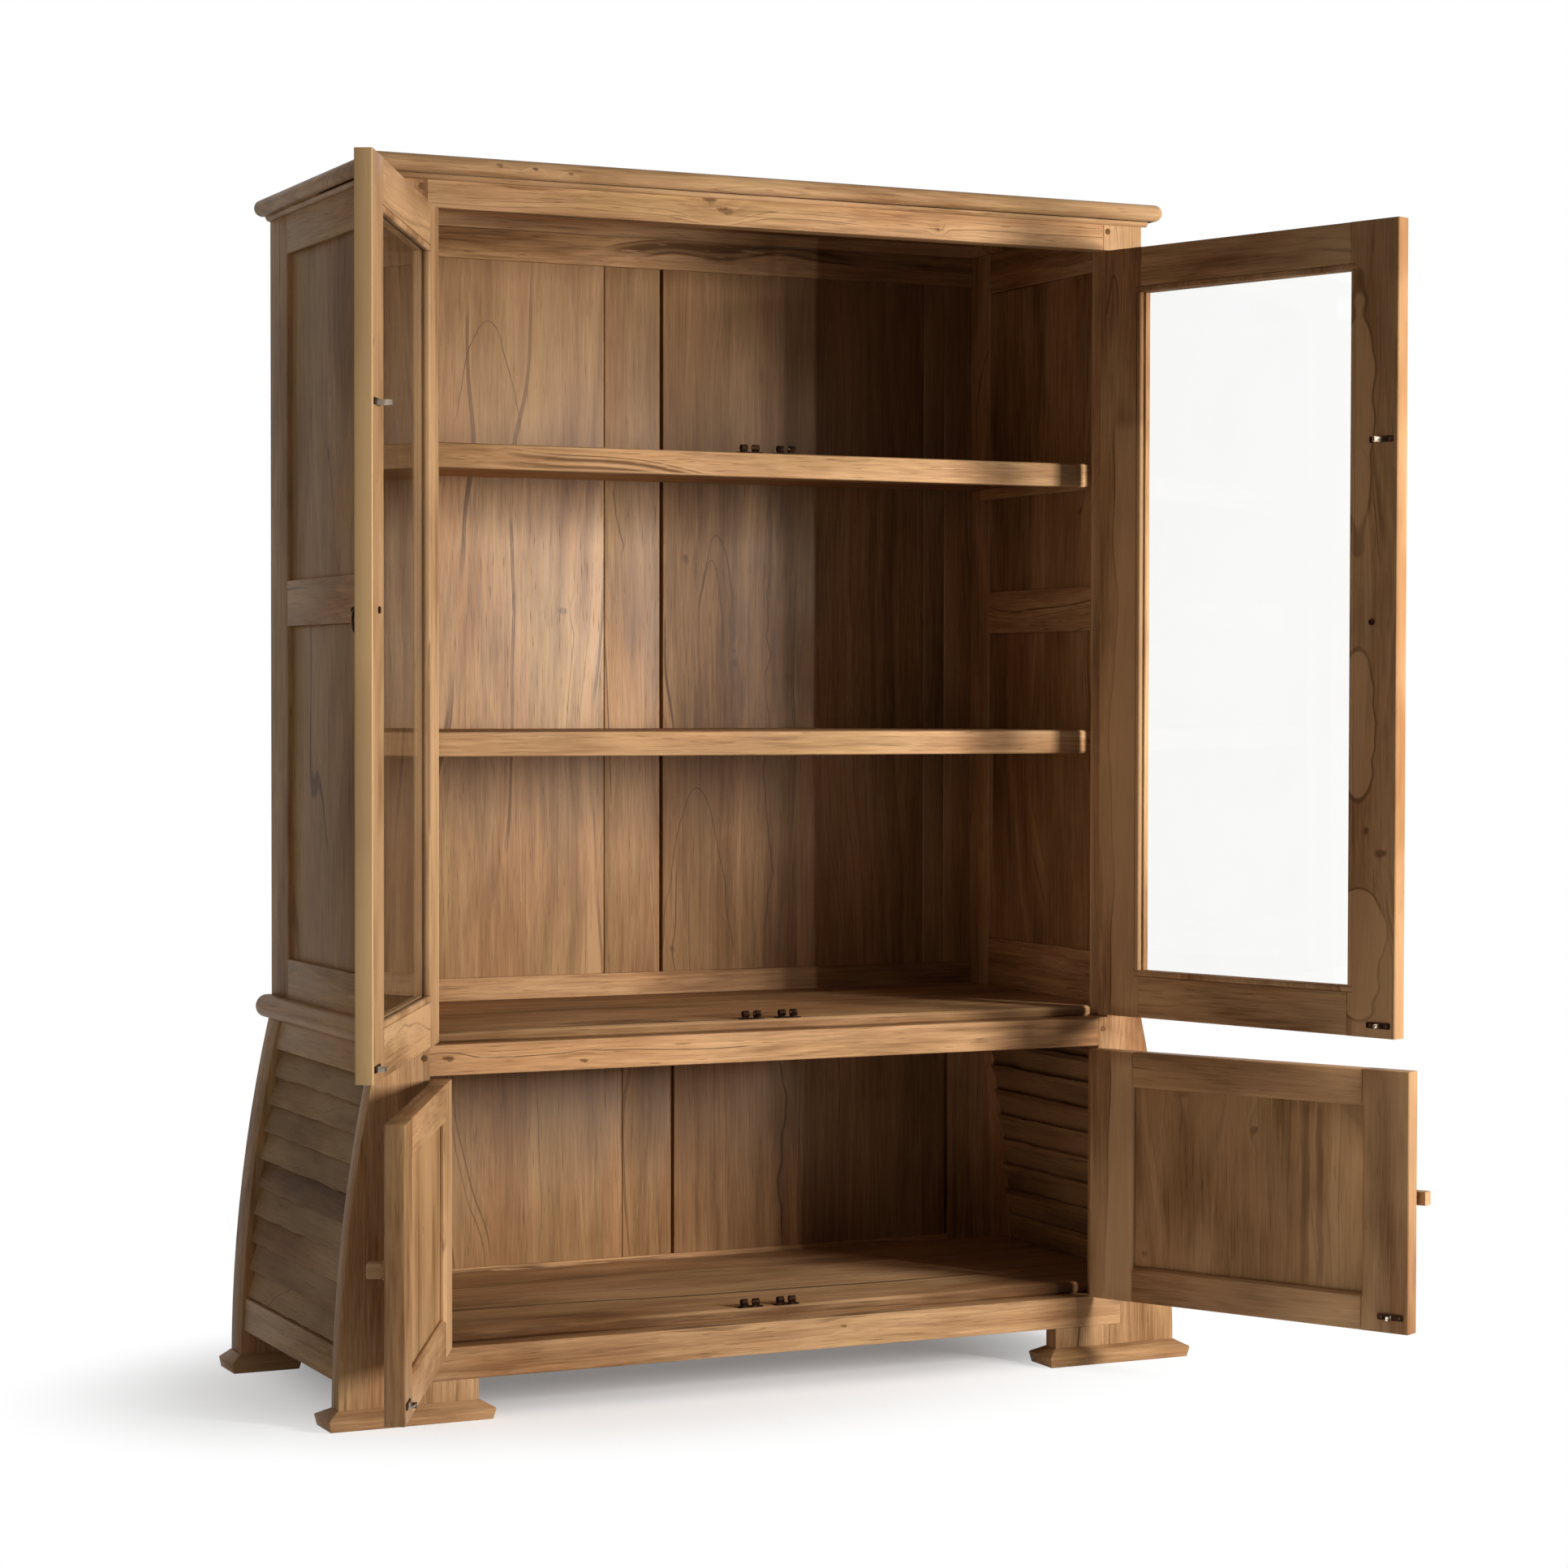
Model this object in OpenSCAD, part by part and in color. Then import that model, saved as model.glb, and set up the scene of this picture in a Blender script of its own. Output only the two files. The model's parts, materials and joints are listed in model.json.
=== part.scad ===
// Two-part display cabinet in solid wood. A tall upper case with two glazed
// doors stands on a low base with two panelled doors. The sides of the base
// flare out to the floor in an arc and are clad with overlapping slats.
// Origin: on the floor, under the middle of the front face. Front faces -Y.

/* [Case] */
// Height of the cabinet from the floor to the top of the cap
total_h = 1988; // [1850:1:2200]
// Width of the upper case
case_w = 1370; // [1250:1:1550]
// Depth from the front face to the back face
case_d = 590; // [520:1:680]
// Height of the base, where the upper case stands
base_h = 595; // [540:1:680]
// Chamfer on the long edges of boards
edge = 1.5; // [0.5:0.1:2.5]

/* [Cap and mouldings] */
// Thickness of the cap board, rounded to a full bullnose
cap_t = 28; // [20:1:40]
// How far the cap stands out over the front
cap_front = 31; // [20:1:50]
// How far the cap stands out over each side
cap_side = 28; // [20:1:50]
// Radius of the quarter-round bead under the cap
bead_r = 8; // [5:0.5:14]
// Height of the waist moulding on each side
waist_h = 39; // [28:1:50]
// How far the waist moulding stands out from the side
waist_out = 28; // [22:1:40]

/* [Upper case] */
// Height of the fascia rail over the doors
fascia_h = 51; // [40:1:80]
// Width of the front posts beside the doors
post_w = 62; // [45:1:75]
// Width of the post's inner part, which stops the door
stop_w = 14; // [8:1:20]
// Depth of the front posts and the fascia
post_d = 38; // [34:1:50]
// Thickness of the side frames
side_t = 28; // [22:1:36]
// Width of each side frame's front stile, behind the post
side_front_stile_w = 57; // [40:1:80]
// Width of each side frame's back stile
side_back_stile_w = 95; // [60:1:120]
// Height of the side frame's top rail
side_top_rail_h = 73; // [50:1:100]
// Height of the side frame's middle rail
side_mid_rail_h = 77; // [50:1:100]
// Height of the middle of the side frame's middle rail above the floor
side_mid_z = 1300; // [1150:1:1450]
// Height of the side frame's bottom rail
side_bottom_rail_h = 105; // [80:1:130]
// Thickness of the panels in the side frames
side_panel_t = 10; // [6:1:14]

/* [Shelves and floors] */
// Height of the shelves' front edge
shelf_t = 40; // [25:1:50]
// Thickness of the shelves behind their front edge
shelf_board_t = 19; // [14:1:24]
// Height of the top face of the upper shelf
shelf_upper_z = 1546; // [1450:1:1620]
// Height of the top face of the lower shelf
shelf_lower_z = 1088; // [1000:1:1180]
// Thickness of the upper case's floor board
floor_t = 18; // [14:1:24]
// Thickness of the base's floor board
base_floor_t = 20; // [15:1:26]
// Gap between the closed doors and the front edges of the floors
stop_gap = 4; // [2:0.5:6]
// Section of the square cleats under the shelves
cleat = 20; // [14:1:28]

/* [Back] */
// Thickness of the back boards
back_board_t = 12; // [8:1:16]
// Depth of the rails and strips of the back
back_rail_d = 30; // [26:1:36]
// Height of the back's bottom rail in the upper case
back_bottom_rail_h = 57; // [45:1:80]
// Height of the back's top rail in the upper case
back_top_rail_h = 54; // [40:1:80]
// Width of the open shadow gap beside the middle board
shadow_gap = 6; // [3:0.5:10]

/* [Base] */
// How far the base stands out beyond each side of the upper case at its top
base_step = 5; // [0:1:40]
// How far each side of the base flares out on its way to the floor
flare = 67; // [40:1:150]
// Depth of the base's front posts and rails
base_post_d = 35; // [28:1:45]
// Depth of the base's back posts, seen from the side
base_back_post_d = 60; // [48:1:80]
// How far the lower door opening lies inside each side of the upper case
low_jamb = 79; // [60:1:120]
// Height of the middle rail between the upper and lower doors
mid_rail_h = 49; // [40:1:70]
// Height of the bottom rail's lower edge above the floor
bottom_rail_z = 63; // [50:1:80]
// Height of the bottom rail
bottom_rail_h = 52; // [40:1:70]
// How far the bottom rail's ends run over the posts
rail_lap = 46; // [25:1:60]
// Width of the block that widens each front foot inwards
foot_block_w = 107; // [70:1:140]
// Height of the side's bottom rail lower edge above the floor
side_rail_z = 70; // [55:1:90]
// Height of the side's bottom rail
side_rail_h = 54; // [40:1:70]
// Number of slats on each side
slat_count = 9; // [6:1:12]
// Thickness of the slats
slat_t = 12; // [8:1:16]
// How far the lower edges of the slats lie behind the posts
slat_set = 8; // [4:1:14]

/* [Feet] */
// Height of the moulding round each foot
foot_h = 30; // [22:1:40]
// How far the moulding stands out at its widest
foot_out = 22; // [14:1:30]

/* [Upper doors] */
// Thickness of the upper doors
up_door_t = 26; // [24:1:30]
// Width of the hinge stile on the inner face
up_hinge_stile_w = 80; // [60:1:100]
// Width of the meeting stile on the inner face
up_meet_stile_w = 84; // [70:1:100]
// Height of the top rail on the inner face
up_top_rail_h = 66; // [50:1:90]
// Height of the bottom rail on the inner face
up_bottom_rail_h = 70; // [50:1:100]
// Width of the rebate that holds the glass
rebate_w = 10; // [7:1:14]
// Thickness of the glass
glass_t = 4; // [3:0.5:5]
// How far the left upper door stands open at rest
up_left_angle = 118; // [60:1:150]
// How far the right upper door stands open at rest
up_right_angle = 109; // [60:1:150]

/* [Lower doors] */
// Thickness of the lower doors
low_door_t = 30; // [28:1:34]
// Width of the stiles
low_stile_w = 85; // [60:1:110]
// Height of the rails
low_rail_h = 60; // [45:1:80]
// Thickness of the panel
low_panel_t = 11; // [8:1:14]
// Width of the bevel round the panel on the inner face
bevel = 5; // [2:0.5:8]
// How far the left lower door stands open at rest
low_left_angle = 116; // [60:1:150]
// How far the right lower door stands open at rest
low_right_angle = 118; // [60:1:150]

/* [Hinges] */
// Length of a hinge
hinge_h = 60; // [45:1:80]
// Width of a hinge leaf
leaf_w = 20; // [14:1:22]
// Radius of the knuckles
knuckle_r = 3.6; // [3:0.1:3.8]
// Radius of the hinge pins
hinge_pin_r = 1.95; // [1.5:0.05:2.1]
// How far the pin axis stands in front of the front face
pin_proud = 4; // [4:0.1:6]

/* [Pulls and catches] */
// Mean radius of a ring pull
ring_r = 15; // [12:0.5:20]
// Radius of the ring's wire
wire_r = 2; // [1.5:0.1:2.5]
// Height of the ring pulls' eyes above the floor
ring_z = 1265; // [1100:1:1400]
// Side of the square wooden knobs on the lower doors
knob_s = 22; // [16:1:26]
// How far the right knob laps over the meeting edge
knob_lap = 12; // [0:1:13]
// Length of a ball catch
catch_l = 43; // [36:1:50]
// Distance of the catches from the middle of the cabinet
catch_x = 33; // [28:1:50]

/* [Hidden] */

// Finishes
WOOD = [0.72, 0.53, 0.34];
WOOD_LIGHT = [0.80, 0.60, 0.40];
WOOD_DARK = [0.55, 0.39, 0.25];
IRON = [0.13, 0.11, 0.10];
BRASS = [0.62, 0.50, 0.30];
GLASS = [0.85, 0.90, 0.90, 0.35];

// Steps between pieces that line up
inner_step = 5;
floor_clear = 12.5;
foot_step = 21;
back_foot_w = 79;
board_in = 5;
low_back_in = 2;
low_back_rise = 8;
low_back_drop = 32;
shelf_play = 0.5;
shelf_edge = 2.5;
shelf_lip_d = 30;
cap_panel_t = 8;
floor_edge = 4;
rail_seat = 7;
seam_edge = 1;
bead_edge = 2;
knob_edge = 1;

// Levels
cap_z = total_h - cap_t;
fascia_z = cap_z - fascia_h;
mid_z = base_h - mid_rail_h;
bottom_top = bottom_rail_z + bottom_rail_h;
floor_z = base_h + floor_t;
base_floor_z = bottom_top + base_floor_t;
side_front_y = post_d + side_front_stile_w;
side_back_y = case_d - side_back_stile_w;
back_y = case_d - back_rail_d;
board_y0 = back_y + board_in;
strip_y = board_y0 + back_board_t;
low_back_y = back_y + low_back_in;

// Widths
half = case_w / 2;
open_half = half - post_w;
stop_half = open_half - stop_w;
inner_half = half - side_t;
waist_half_w = half + base_step;
foot_half_w = waist_half_w + flare;
arc_r = (flare * flare + base_h * base_h) / (2 * flare);
low_open = half - low_jamb;
low_inner = low_open + inner_step;
base_inner = base_w(bottom_top) - slat_set - slat_t - floor_clear;
foot_in = low_open + rail_lap - foot_step;
back_foot_x = foot_half_w - back_foot_w;

// Gaps and fits
door_gap = 1.5;
up_top_gap = 5;
up_bottom_gap = 7;
low_gap = 3;
fit = 0.3;
peg_fit = 0.1;
loose = 0.2;
hinge_bore_r = hinge_pin_r + 0.05;
eps = 0.01;
through = 1;

// Upper door leaf
up_x0 = door_gap;
up_x1 = open_half - door_gap;
up_z0 = base_h + up_bottom_gap;
up_z1 = fascia_z - up_top_gap;
lip_t = 12;
sight_x0 = up_x0 + up_meet_stile_w + rebate_w;
sight_x1 = up_x1 - up_hinge_stile_w - rebate_w;
sight_z0 = up_z0 + up_bottom_rail_h + rebate_w;
sight_z1 = up_z1 - up_top_rail_h - rebate_w;

// Lower door leaf
low_x1 = low_open - door_gap;
low_z0 = bottom_top + low_gap;
low_z1 = mid_z - low_gap;
panel_y = (low_door_t - low_panel_t) / 2;
groove = 8;
tongue = groove - 0.5;

// Hinges
plate_t = 2.2;
plate_sunk = 1.6;
knuckle_gap = 0.3;
pin_head_r = 3.2;
pin_head_t = 2;
hinge_inset = 120;
low_hinge_inset = 70;
up_hinge_z = [up_z0 + hinge_inset, (up_z0 + up_z1) / 2, up_z1 - hinge_inset];
low_hinge_z = [low_z0 + low_hinge_inset, low_z1 - low_hinge_inset];

// Catches
catch_d = 12;
catch_base_t = 1.5;
barrel_r = 5.5;
catch_axis = 8;
ball_r = 3.8;
ball_bore_r = ball_r + 0.2;
tongue_half = 2;
ball_gap = 3.6;
mouth_half = 5.2;
catch_web = 4;
bore_end = 12.5;
catch_wing = 5.5;
barrel_out = catch_l / 2 - catch_wing;
shelf_y = post_d + 2;
stop_y = up_door_t + stop_gap;
floor_y = stop_y;
low_floor_y = low_door_t + stop_gap;
bottom_rail_d = low_floor_y + floor_edge + rail_seat;
catch_in = 1;
tongue_h = 8;
strike_w = 46;
strike_h = 10;
strike_t = 1.5;

// Ring pulls
ring_x = 49.5;
eye_out = 8;
eye_w = 5;
plate_r = 11;
plate_h = 2;
bolt_r = 2.5;
nut_r = 5;
nut_h = 3;

// Knobs
knob_z = (low_z0 + low_z1) / 2 + 5;
rosette_r = 21;
rosette_top_r = 14;
rosette_h = 5;
knob_x = 25.5;

// Tenons and pegs
tenon_t = 12;
tenon_l = 25;
tenon_shoulder = 7;
peg_r = 5;
peg_proud = 0.4;
peg_in = 9;
peg_blind = 8;
fascia_peg_up = 32;
mid_peg_up = 29;
fascia_peg_z = fascia_z + fascia_peg_up;
mid_peg_z = mid_z + mid_peg_up;

function base_w(z) = foot_half_w - arc_r + sqrt(arc_r * arc_r - z * z);

// A rectangle with its four corners chamfered
module eased(w, h, e) {
    polygon([[e, 0], [w - e, 0], [w, e], [w, h - e], [w - e, h], [e, h], [0, h - e], [0, e]]);
}

// Boards between two corners, with chamfers along their length
module board_x(lo, hi, e = edge) {
    translate(lo) rotate([90, 0, 90])
        linear_extrude(hi.x - lo.x) eased(hi.y - lo.y, hi.z - lo.z, e);
}
module board_y(lo, hi, e = edge) {
    translate([lo.x, hi.y, lo.z]) rotate([90, 0, 0])
        linear_extrude(hi.y - lo.y) eased(hi.x - lo.x, hi.z - lo.z, e);
}
module board_z(lo, hi, e = edge) {
    translate(lo) linear_extrude(hi.z - lo.z) eased(hi.x - lo.x, hi.y - lo.y, e);
}
module block(lo, hi) {
    translate(lo) cube(hi - lo);
}

// A cylinder along Y or X from a point
module rod_y(p, r, l) {
    translate(p) rotate([-90, 0, 0]) cylinder(r = r, h = l, $fn = 48);
}
module rod_x(p, r, l) {
    translate(p) rotate([0, 90, 0]) cylinder(r = r, h = l, $fn = 48);
}

// The same shape on the left and the right
module both() {
    children();
    mirror([1, 0, 0]) children();
}

// A door drawn shut on the right side, hung on its pin and swung open
module hang(side, pin_x, angle) {
    translate([side * pin_x, -pin_proud, 0]) rotate([0, 0, side * angle])
        translate([-side * pin_x, pin_proud, 0])
            mirror([side < 0 ? 1 : 0, 0, 0]) children();
}

// Cap, bead and fascia

// A frame with a rounded edge and a thinner board inside it
module top_cap() {
    r = cap_t / 2;
    x = half + cap_side - r;
    y = r - cap_front;
    color(WOOD_LIGHT) difference() {
        union() {
            block([-x, y, cap_z], [x, case_d, total_h]);
            rod_x([-x, y, cap_z + r], r, 2 * x);
            both() {
                rod_y([x, y, cap_z + r], r, case_d - y);
                translate([x, y, cap_z + r]) sphere(r = r, $fn = 48);
            }
        }
        block([-inner_half, post_d, cap_z - through], [inner_half, back_y, total_h - cap_panel_t]);
    }
}

module cap_bead() {
    color(WOOD) {
        intersection() {
            rod_x([-half - bead_r, 0, cap_z], bead_r, case_w + 2 * bead_r);
            block([-half - bead_r, -bead_r, cap_z - bead_r], [half + bead_r, 0, cap_z]);
        }
        both() intersection() {
            rod_y([half, 0, cap_z], bead_r, case_d);
            block([half, 0, cap_z - bead_r], [half + bead_r, case_d, cap_z]);
        }
    }
}

module fascia_rail() {
    color(WOOD_LIGHT) rail_between_posts(stop_half, post_d, fascia_z, cap_z, fascia_peg_z);
}

// Upper case

// A rail's tenon right of x, grown by a clearance where it is a mortise
module rail_tenon(x, depth, z0, z1, grow) {
    y = (depth - tenon_t) / 2;
    block([x - eps, y - grow, z0 + tenon_shoulder - grow],
        [x + tenon_l + grow, y + tenon_t + grow, z1 - tenon_shoulder + grow]);
}

module peg(x, z, depth) {
    rod_y([x + peg_in, -peg_proud, z], peg_r, depth - peg_blind);
}
module peg_hole(x, z, depth) {
    rod_y([x + peg_in, -1, z], peg_r + peg_fit, depth - peg_blind + peg_fit + 1);
}

// A rail with a pegged tenon at each end
module rail_between_posts(x, depth, z0, z1, peg_z) {
    union() {
        board_x([-x, 0, z0], [x, depth, z1]);
        both() difference() {
            rail_tenon(x, depth, z0, z1, 0);
            peg_hole(x, peg_z, depth);
        }
    }
}

// The inner part of each post stands behind the door and stops it
module upper_front_posts() {
    color(WOOD) both() difference() {
        board_z([stop_half, 0, base_h], [half, post_d, cap_z]);
        block([stop_half - 1, -1, base_h - 1], [open_half, stop_y, fascia_z]);
        jamb_pockets(open_half, up_hinge_z);
        rail_tenon(stop_half, post_d, fascia_z, cap_z, fit);
        peg_hole(stop_half, fascia_peg_z, post_d);
    }
}

module upper_side_stiles() {
    color(WOOD) both() {
        board_z([inner_half, post_d, base_h], [half, side_front_y, cap_z]);
        board_z([inner_half, side_back_y, base_h], [half, case_d, cap_z]);
    }
}

side_rails = [
    [base_h, base_h + side_bottom_rail_h],
    [side_mid_z - side_mid_rail_h / 2, side_mid_z + side_mid_rail_h / 2],
    [cap_z - side_top_rail_h, cap_z]];

module upper_side_rails() {
    color(WOOD) both() for (r = side_rails)
        board_y([inner_half, side_front_y, r[0]], [half, side_back_y, r[1]]);
}

module upper_side_panels() {
    x = inner_half + (side_t - side_panel_t) / 2;
    color(WOOD_DARK) both() for (i = [0, 1])
        block([x, side_front_y, side_rails[i][1]],
            [x + side_panel_t, side_back_y, side_rails[i + 1][0]]);
}

// Back of both cases

back_top = cap_z - back_top_rail_h;
back_bottom = base_h + back_bottom_rail_h;
low_back_bottom = base_floor_z + low_back_rise;
low_rail_bottom = bottom_top - low_back_drop;

module back_rails() {
    color(WOOD) {
        board_x([-inner_half, back_y, back_top], [inner_half, case_d, cap_z]);
        board_x([-inner_half, back_y, base_h], [inner_half, case_d, back_bottom]);
        board_x([-low_inner, low_back_y, mid_z], [low_inner, case_d, base_h - loose]);
        board_x([-low_inner, low_back_y, low_rail_bottom],
            [low_inner, case_d, low_back_bottom]);
    }
}

// Seams between the back boards, from left to right
seam_a = -80;
seam_b = 27;
strip_w = 43;
edge_board_w = 57;
low_seam_a = -45;
low_seam_b = 50;
seam = 1;

module back_board(x0, x1, z0, z1) {
    board_z([x0, board_y0, z0], [x1, strip_y, z1], seam_edge);
}

module upper_back_boards() {
    strip_x = inner_half - edge_board_w - strip_w;
    color(WOOD) {
        back_board(-inner_half, seam_a - seam / 2, back_bottom, back_top);
        back_board(seam_a + seam / 2, seam_b, back_bottom, back_top);
        back_board(seam_b + shadow_gap, strip_x - seam / 2, back_bottom, back_top);
        back_board(strip_x + seam / 2, strip_x + strip_w, back_bottom, back_top);
        back_board(strip_x + strip_w + seam / 2, inner_half, back_bottom, back_top);
    }
}

module base_back_boards() {
    color(WOOD) {
        back_board(-low_inner, low_seam_a - seam / 2, low_back_bottom, mid_z);
        back_board(low_seam_a + seam / 2, low_seam_b, low_back_bottom, mid_z);
        back_board(low_seam_b + shadow_gap, low_inner - shadow_gap, low_back_bottom, mid_z);
    }
}

cover = 60;

module back_cover_strips() {
    color(WOOD_DARK) {
        both() board_z([inner_half - cover, strip_y, back_bottom],
            [inner_half, case_d, back_top]);
        board_z([seam_b + shadow_gap / 2 - cover / 2, strip_y, back_bottom],
            [seam_b + shadow_gap / 2 + cover / 2, case_d, back_top]);
        both() board_z([low_inner - cover, strip_y, low_back_bottom],
            [low_inner, case_d, mid_z]);
        board_z([low_seam_b + shadow_gap / 2 - cover / 2, strip_y, low_back_bottom],
            [low_seam_b + shadow_gap / 2 + cover / 2, case_d, mid_z]);
    }
}

// Shelves and floors

// A board with a deeper front edge
module shelf(z) {
    x = inner_half - shelf_play;
    color(WOOD_LIGHT) union() {
        board_x([-x, shelf_y, z - shelf_t], [x, shelf_y + shelf_lip_d, z], shelf_edge);
        board_x([-x, shelf_y + shelf_lip_d / 2, z - shelf_board_t], [x, back_y, z], shelf_edge);
    }
}
module shelf_upper() {
    shelf(shelf_upper_z);
}
module shelf_lower() {
    shelf(shelf_lower_z);
}

module shelf_cleats() {
    color(WOOD) for (z = [shelf_upper_z, shelf_lower_z]) both()
        board_y([inner_half - cleat, side_front_y, z - shelf_board_t - cleat],
            [inner_half, side_back_y, z - shelf_board_t]);
}

module upper_floor() {
    color(WOOD_LIGHT) difference() {
        board_x([-inner_half, floor_y, base_h], [inner_half, back_y, floor_z], floor_edge);
        both() block([stop_half, floor_y - 1, base_h - 1],
            [half, post_d, floor_z + 1]);
    }
}

module base_floor() {
    color(WOOD_LIGHT) difference() {
        board_x([-base_inner, low_floor_y, bottom_top],
            [base_inner, low_back_y, base_floor_z], floor_edge);
        both() block([low_open, low_floor_y - 1, bottom_top - 1],
            [base_inner + 1, base_post_d, base_floor_z + 1]);
    }
}

module waist_mouldings() {
    r = waist_h / 2;
    color(WOOD_LIGHT) both() union() {
        block([half, 0, base_h], [half + waist_out - r, case_d, base_h + waist_h]);
        intersection() {
            rod_y([half + waist_out - r, 0, base_h + r], r, case_d);
            block([half, 0, base_h], [half + waist_out, case_d, base_h + waist_h]);
        }
    }
}

// Base

// The space under the flare, moved inwards by a set
module under_arc(set, y0, y1) {
    translate([foot_half_w - arc_r - set, y0, 0]) rotate([-90, 0, 0])
        cylinder(r = arc_r, h = y1 - y0, $fn = 360);
}

module base_profile(points, y0, y1) {
    intersection() {
        translate([0, y1, 0]) rotate([90, 0, 0]) linear_extrude(y1 - y0) polygon(points);
        under_arc(0, y0, y1);
    }
}

module base_front_posts() {
    x = foot_half_w + 1;
    lap = low_open + rail_lap;
    color(WOOD) both() difference() {
        base_profile([[foot_in, 0], [foot_in, bottom_rail_z], [lap, bottom_rail_z],
            [lap, bottom_top], [low_open, bottom_top], [low_open, base_h],
            [x, base_h], [x, 0]], 0, base_post_d);
        jamb_pockets(low_open, low_hinge_z);
        rail_tenon(low_open, base_post_d, mid_z, base_h, fit);
        peg_hole(low_open, mid_peg_z, base_post_d);
    }
}

module base_back_posts() {
    x = foot_half_w + 1;
    y0 = case_d - base_back_post_d;
    y1 = low_back_y;
    board = [[back_foot_x, 0], [back_foot_x, bottom_rail_z], [low_inner, bottom_rail_z],
        [low_inner, base_h], [x, base_h], [x, 0]];
    color(WOOD) both() union() {
        base_profile(board, y1, case_d);
        base_profile([[back_foot_x, 0], [back_foot_x, bottom_rail_z], [x, bottom_rail_z],
            [x, 0]], y0, y1 + 1);
        difference() {
            base_profile(board, y0, y1 + 1);
            under_arc(side_t, y0 - 1, y1 + 2);
        }
    }
}

module mid_rail() {
    color(WOOD_LIGHT) rail_between_posts(low_open, base_post_d, mid_z, base_h, mid_peg_z);
}

module bottom_rail() {
    lap = low_open + rail_lap;
    color(WOOD_LIGHT) board_x([-lap, 0, bottom_rail_z], [lap, bottom_rail_d, bottom_top]);
}

module foot_blocks() {
    color(WOOD) both()
        board_z([foot_in - foot_block_w, 0, 0], [foot_in, base_post_d, bottom_rail_z]);
}

rail_set = 4;

module base_side_rails() {
    y0 = base_post_d;
    y1 = case_d - base_back_post_d;
    color(WOOD) both() for (z = [[side_rail_z, side_rail_z + side_rail_h], [mid_z, base_h]])
        intersection() {
            block([low_open, y0, z[0]], [foot_half_w + 1, y1, z[1]]);
            difference() {
                under_arc(rail_set, y0, y1);
                under_arc(rail_set + side_t, y0 - 1, y1 + 1);
            }
        }
}

slat_gap = 2;
slat_z0 = side_rail_z + side_rail_h + slat_gap;
slat_pitch = (mid_z - slat_z0) / slat_count;
slat_lap = 8;
slat_ease = 3;
slat_play = 0.4;

// One slat: its lower edge stands out and laps over the top of the slat below
module slat(i) {
    z0 = slat_z0 + i * slat_pitch;
    z1 = z0 + slat_pitch;
    top = i == slat_count - 1 ? z1 - slat_play : z1 + slat_lap;
    x0 = base_w(z0) - slat_set;
    x1 = base_w(z1) - slat_set - slat_t - slat_play;
    lean = (x0 - x1) / slat_pitch;
    xt = x0 - lean * (top - z0);
    translate([0, case_d - base_back_post_d, 0]) rotate([90, 0, 0])
        linear_extrude(case_d - base_back_post_d - base_post_d)
            polygon([[x0 - slat_t, z0], [x0 - slat_ease, z0],
                [x0 - slat_ease * 0.3, z0 + slat_ease * 0.4],
                [x0 - lean * slat_ease, z0 + slat_ease],
                [xt, top], [xt - slat_t, top]]);
}
module base_slats_right() {
    color(WOOD_DARK) for (i = [0 : slat_count - 1]) slat(i);
}
module base_slats_left() {
    mirror([1, 0, 0]) base_slats_right();
}

// A moulding round a foot: it widens to a nose and slopes back to the foot
nose_share = 0.6;
foot_slope = 4;
module moulding(x0, x1, y0, y1, back_out) {
    low = foot_out - foot_slope;
    back_low = max(back_out - foot_slope, 0);
    z1 = nose_share * foot_h;
    difference() {
        intersection() {
            translate([0, y1 + back_out, 0]) rotate([90, 0, 0])
                linear_extrude(y1 - y0 + foot_out + back_out)
                    polygon([[x0 - low, 0], [x1 + low, 0], [x1 + foot_out, z1],
                        [x1, foot_h], [x0, foot_h], [x0 - foot_out, z1]]);
            translate([x0 - foot_out, 0, 0]) rotate([90, 0, 90])
                linear_extrude(x1 - x0 + 2 * foot_out)
                    polygon([[y0 - low, 0], [y1 + back_low, 0], [y1 + back_out, z1],
                        [y1, foot_h], [y0, foot_h], [y0 - foot_out, z1]]);
        }
        block([x0, y0, -through], [x1, y1, foot_h + through]);
    }
}

module foot_mouldings() {
    color(WOOD_LIGHT) both() {
        moulding(foot_in - foot_block_w, foot_half_w, 0, base_post_d, foot_out);
        intersection() {
            moulding(back_foot_x, foot_half_w, case_d - base_back_post_d, case_d, eps);
            block([0, 0, 0], [foot_half_w + foot_out, case_d, foot_h]);
        }
    }
}

module joint_pegs() {
    color(WOOD_DARK) both() {
        peg(stop_half, fascia_peg_z, post_d);
        peg(low_open, mid_peg_z, base_post_d);
    }
}

// Hinges, drawn for the right side with the door shut

module jamb_pockets(x, heights) {
    for (z = heights)
        block([x - 1, -1, z - hinge_h / 2 - loose],
            [x + plate_sunk, leaf_w + 2.5, z + hinge_h / 2 + loose]);
}

module door_pockets(x, heights) {
    for (z = heights)
        block([x - plate_sunk, -1, z - hinge_h / 2 - loose],
            [x + 1, leaf_w + 2.5, z + hinge_h / 2 + loose]);
}

module knuckle(x, z, h) {
    translate([x, -pin_proud, z]) cylinder(r = knuckle_r, h = h, $fn = 48);
}

// A leaf let into a face at x0, with knuckles over the given spans
module hinge_leaf(pin_x, x0, z, spans) {
    difference() {
        union() {
            block([x0, 1.2, z - hinge_h / 2], [x0 + plate_t, leaf_w + 2, z + hinge_h / 2]);
            for (s = spans) {
                block([x0, -pin_proud, z + s[0]], [x0 + plate_t, 1.2 + eps, z + s[1]]);
                knuckle(pin_x, z + s[0], s[1] - s[0]);
            }
        }
        translate([pin_x, -pin_proud, z - hinge_h]) cylinder(r = hinge_bore_r,
            h = 2 * hinge_h, $fn = 48);
    }
}

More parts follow.
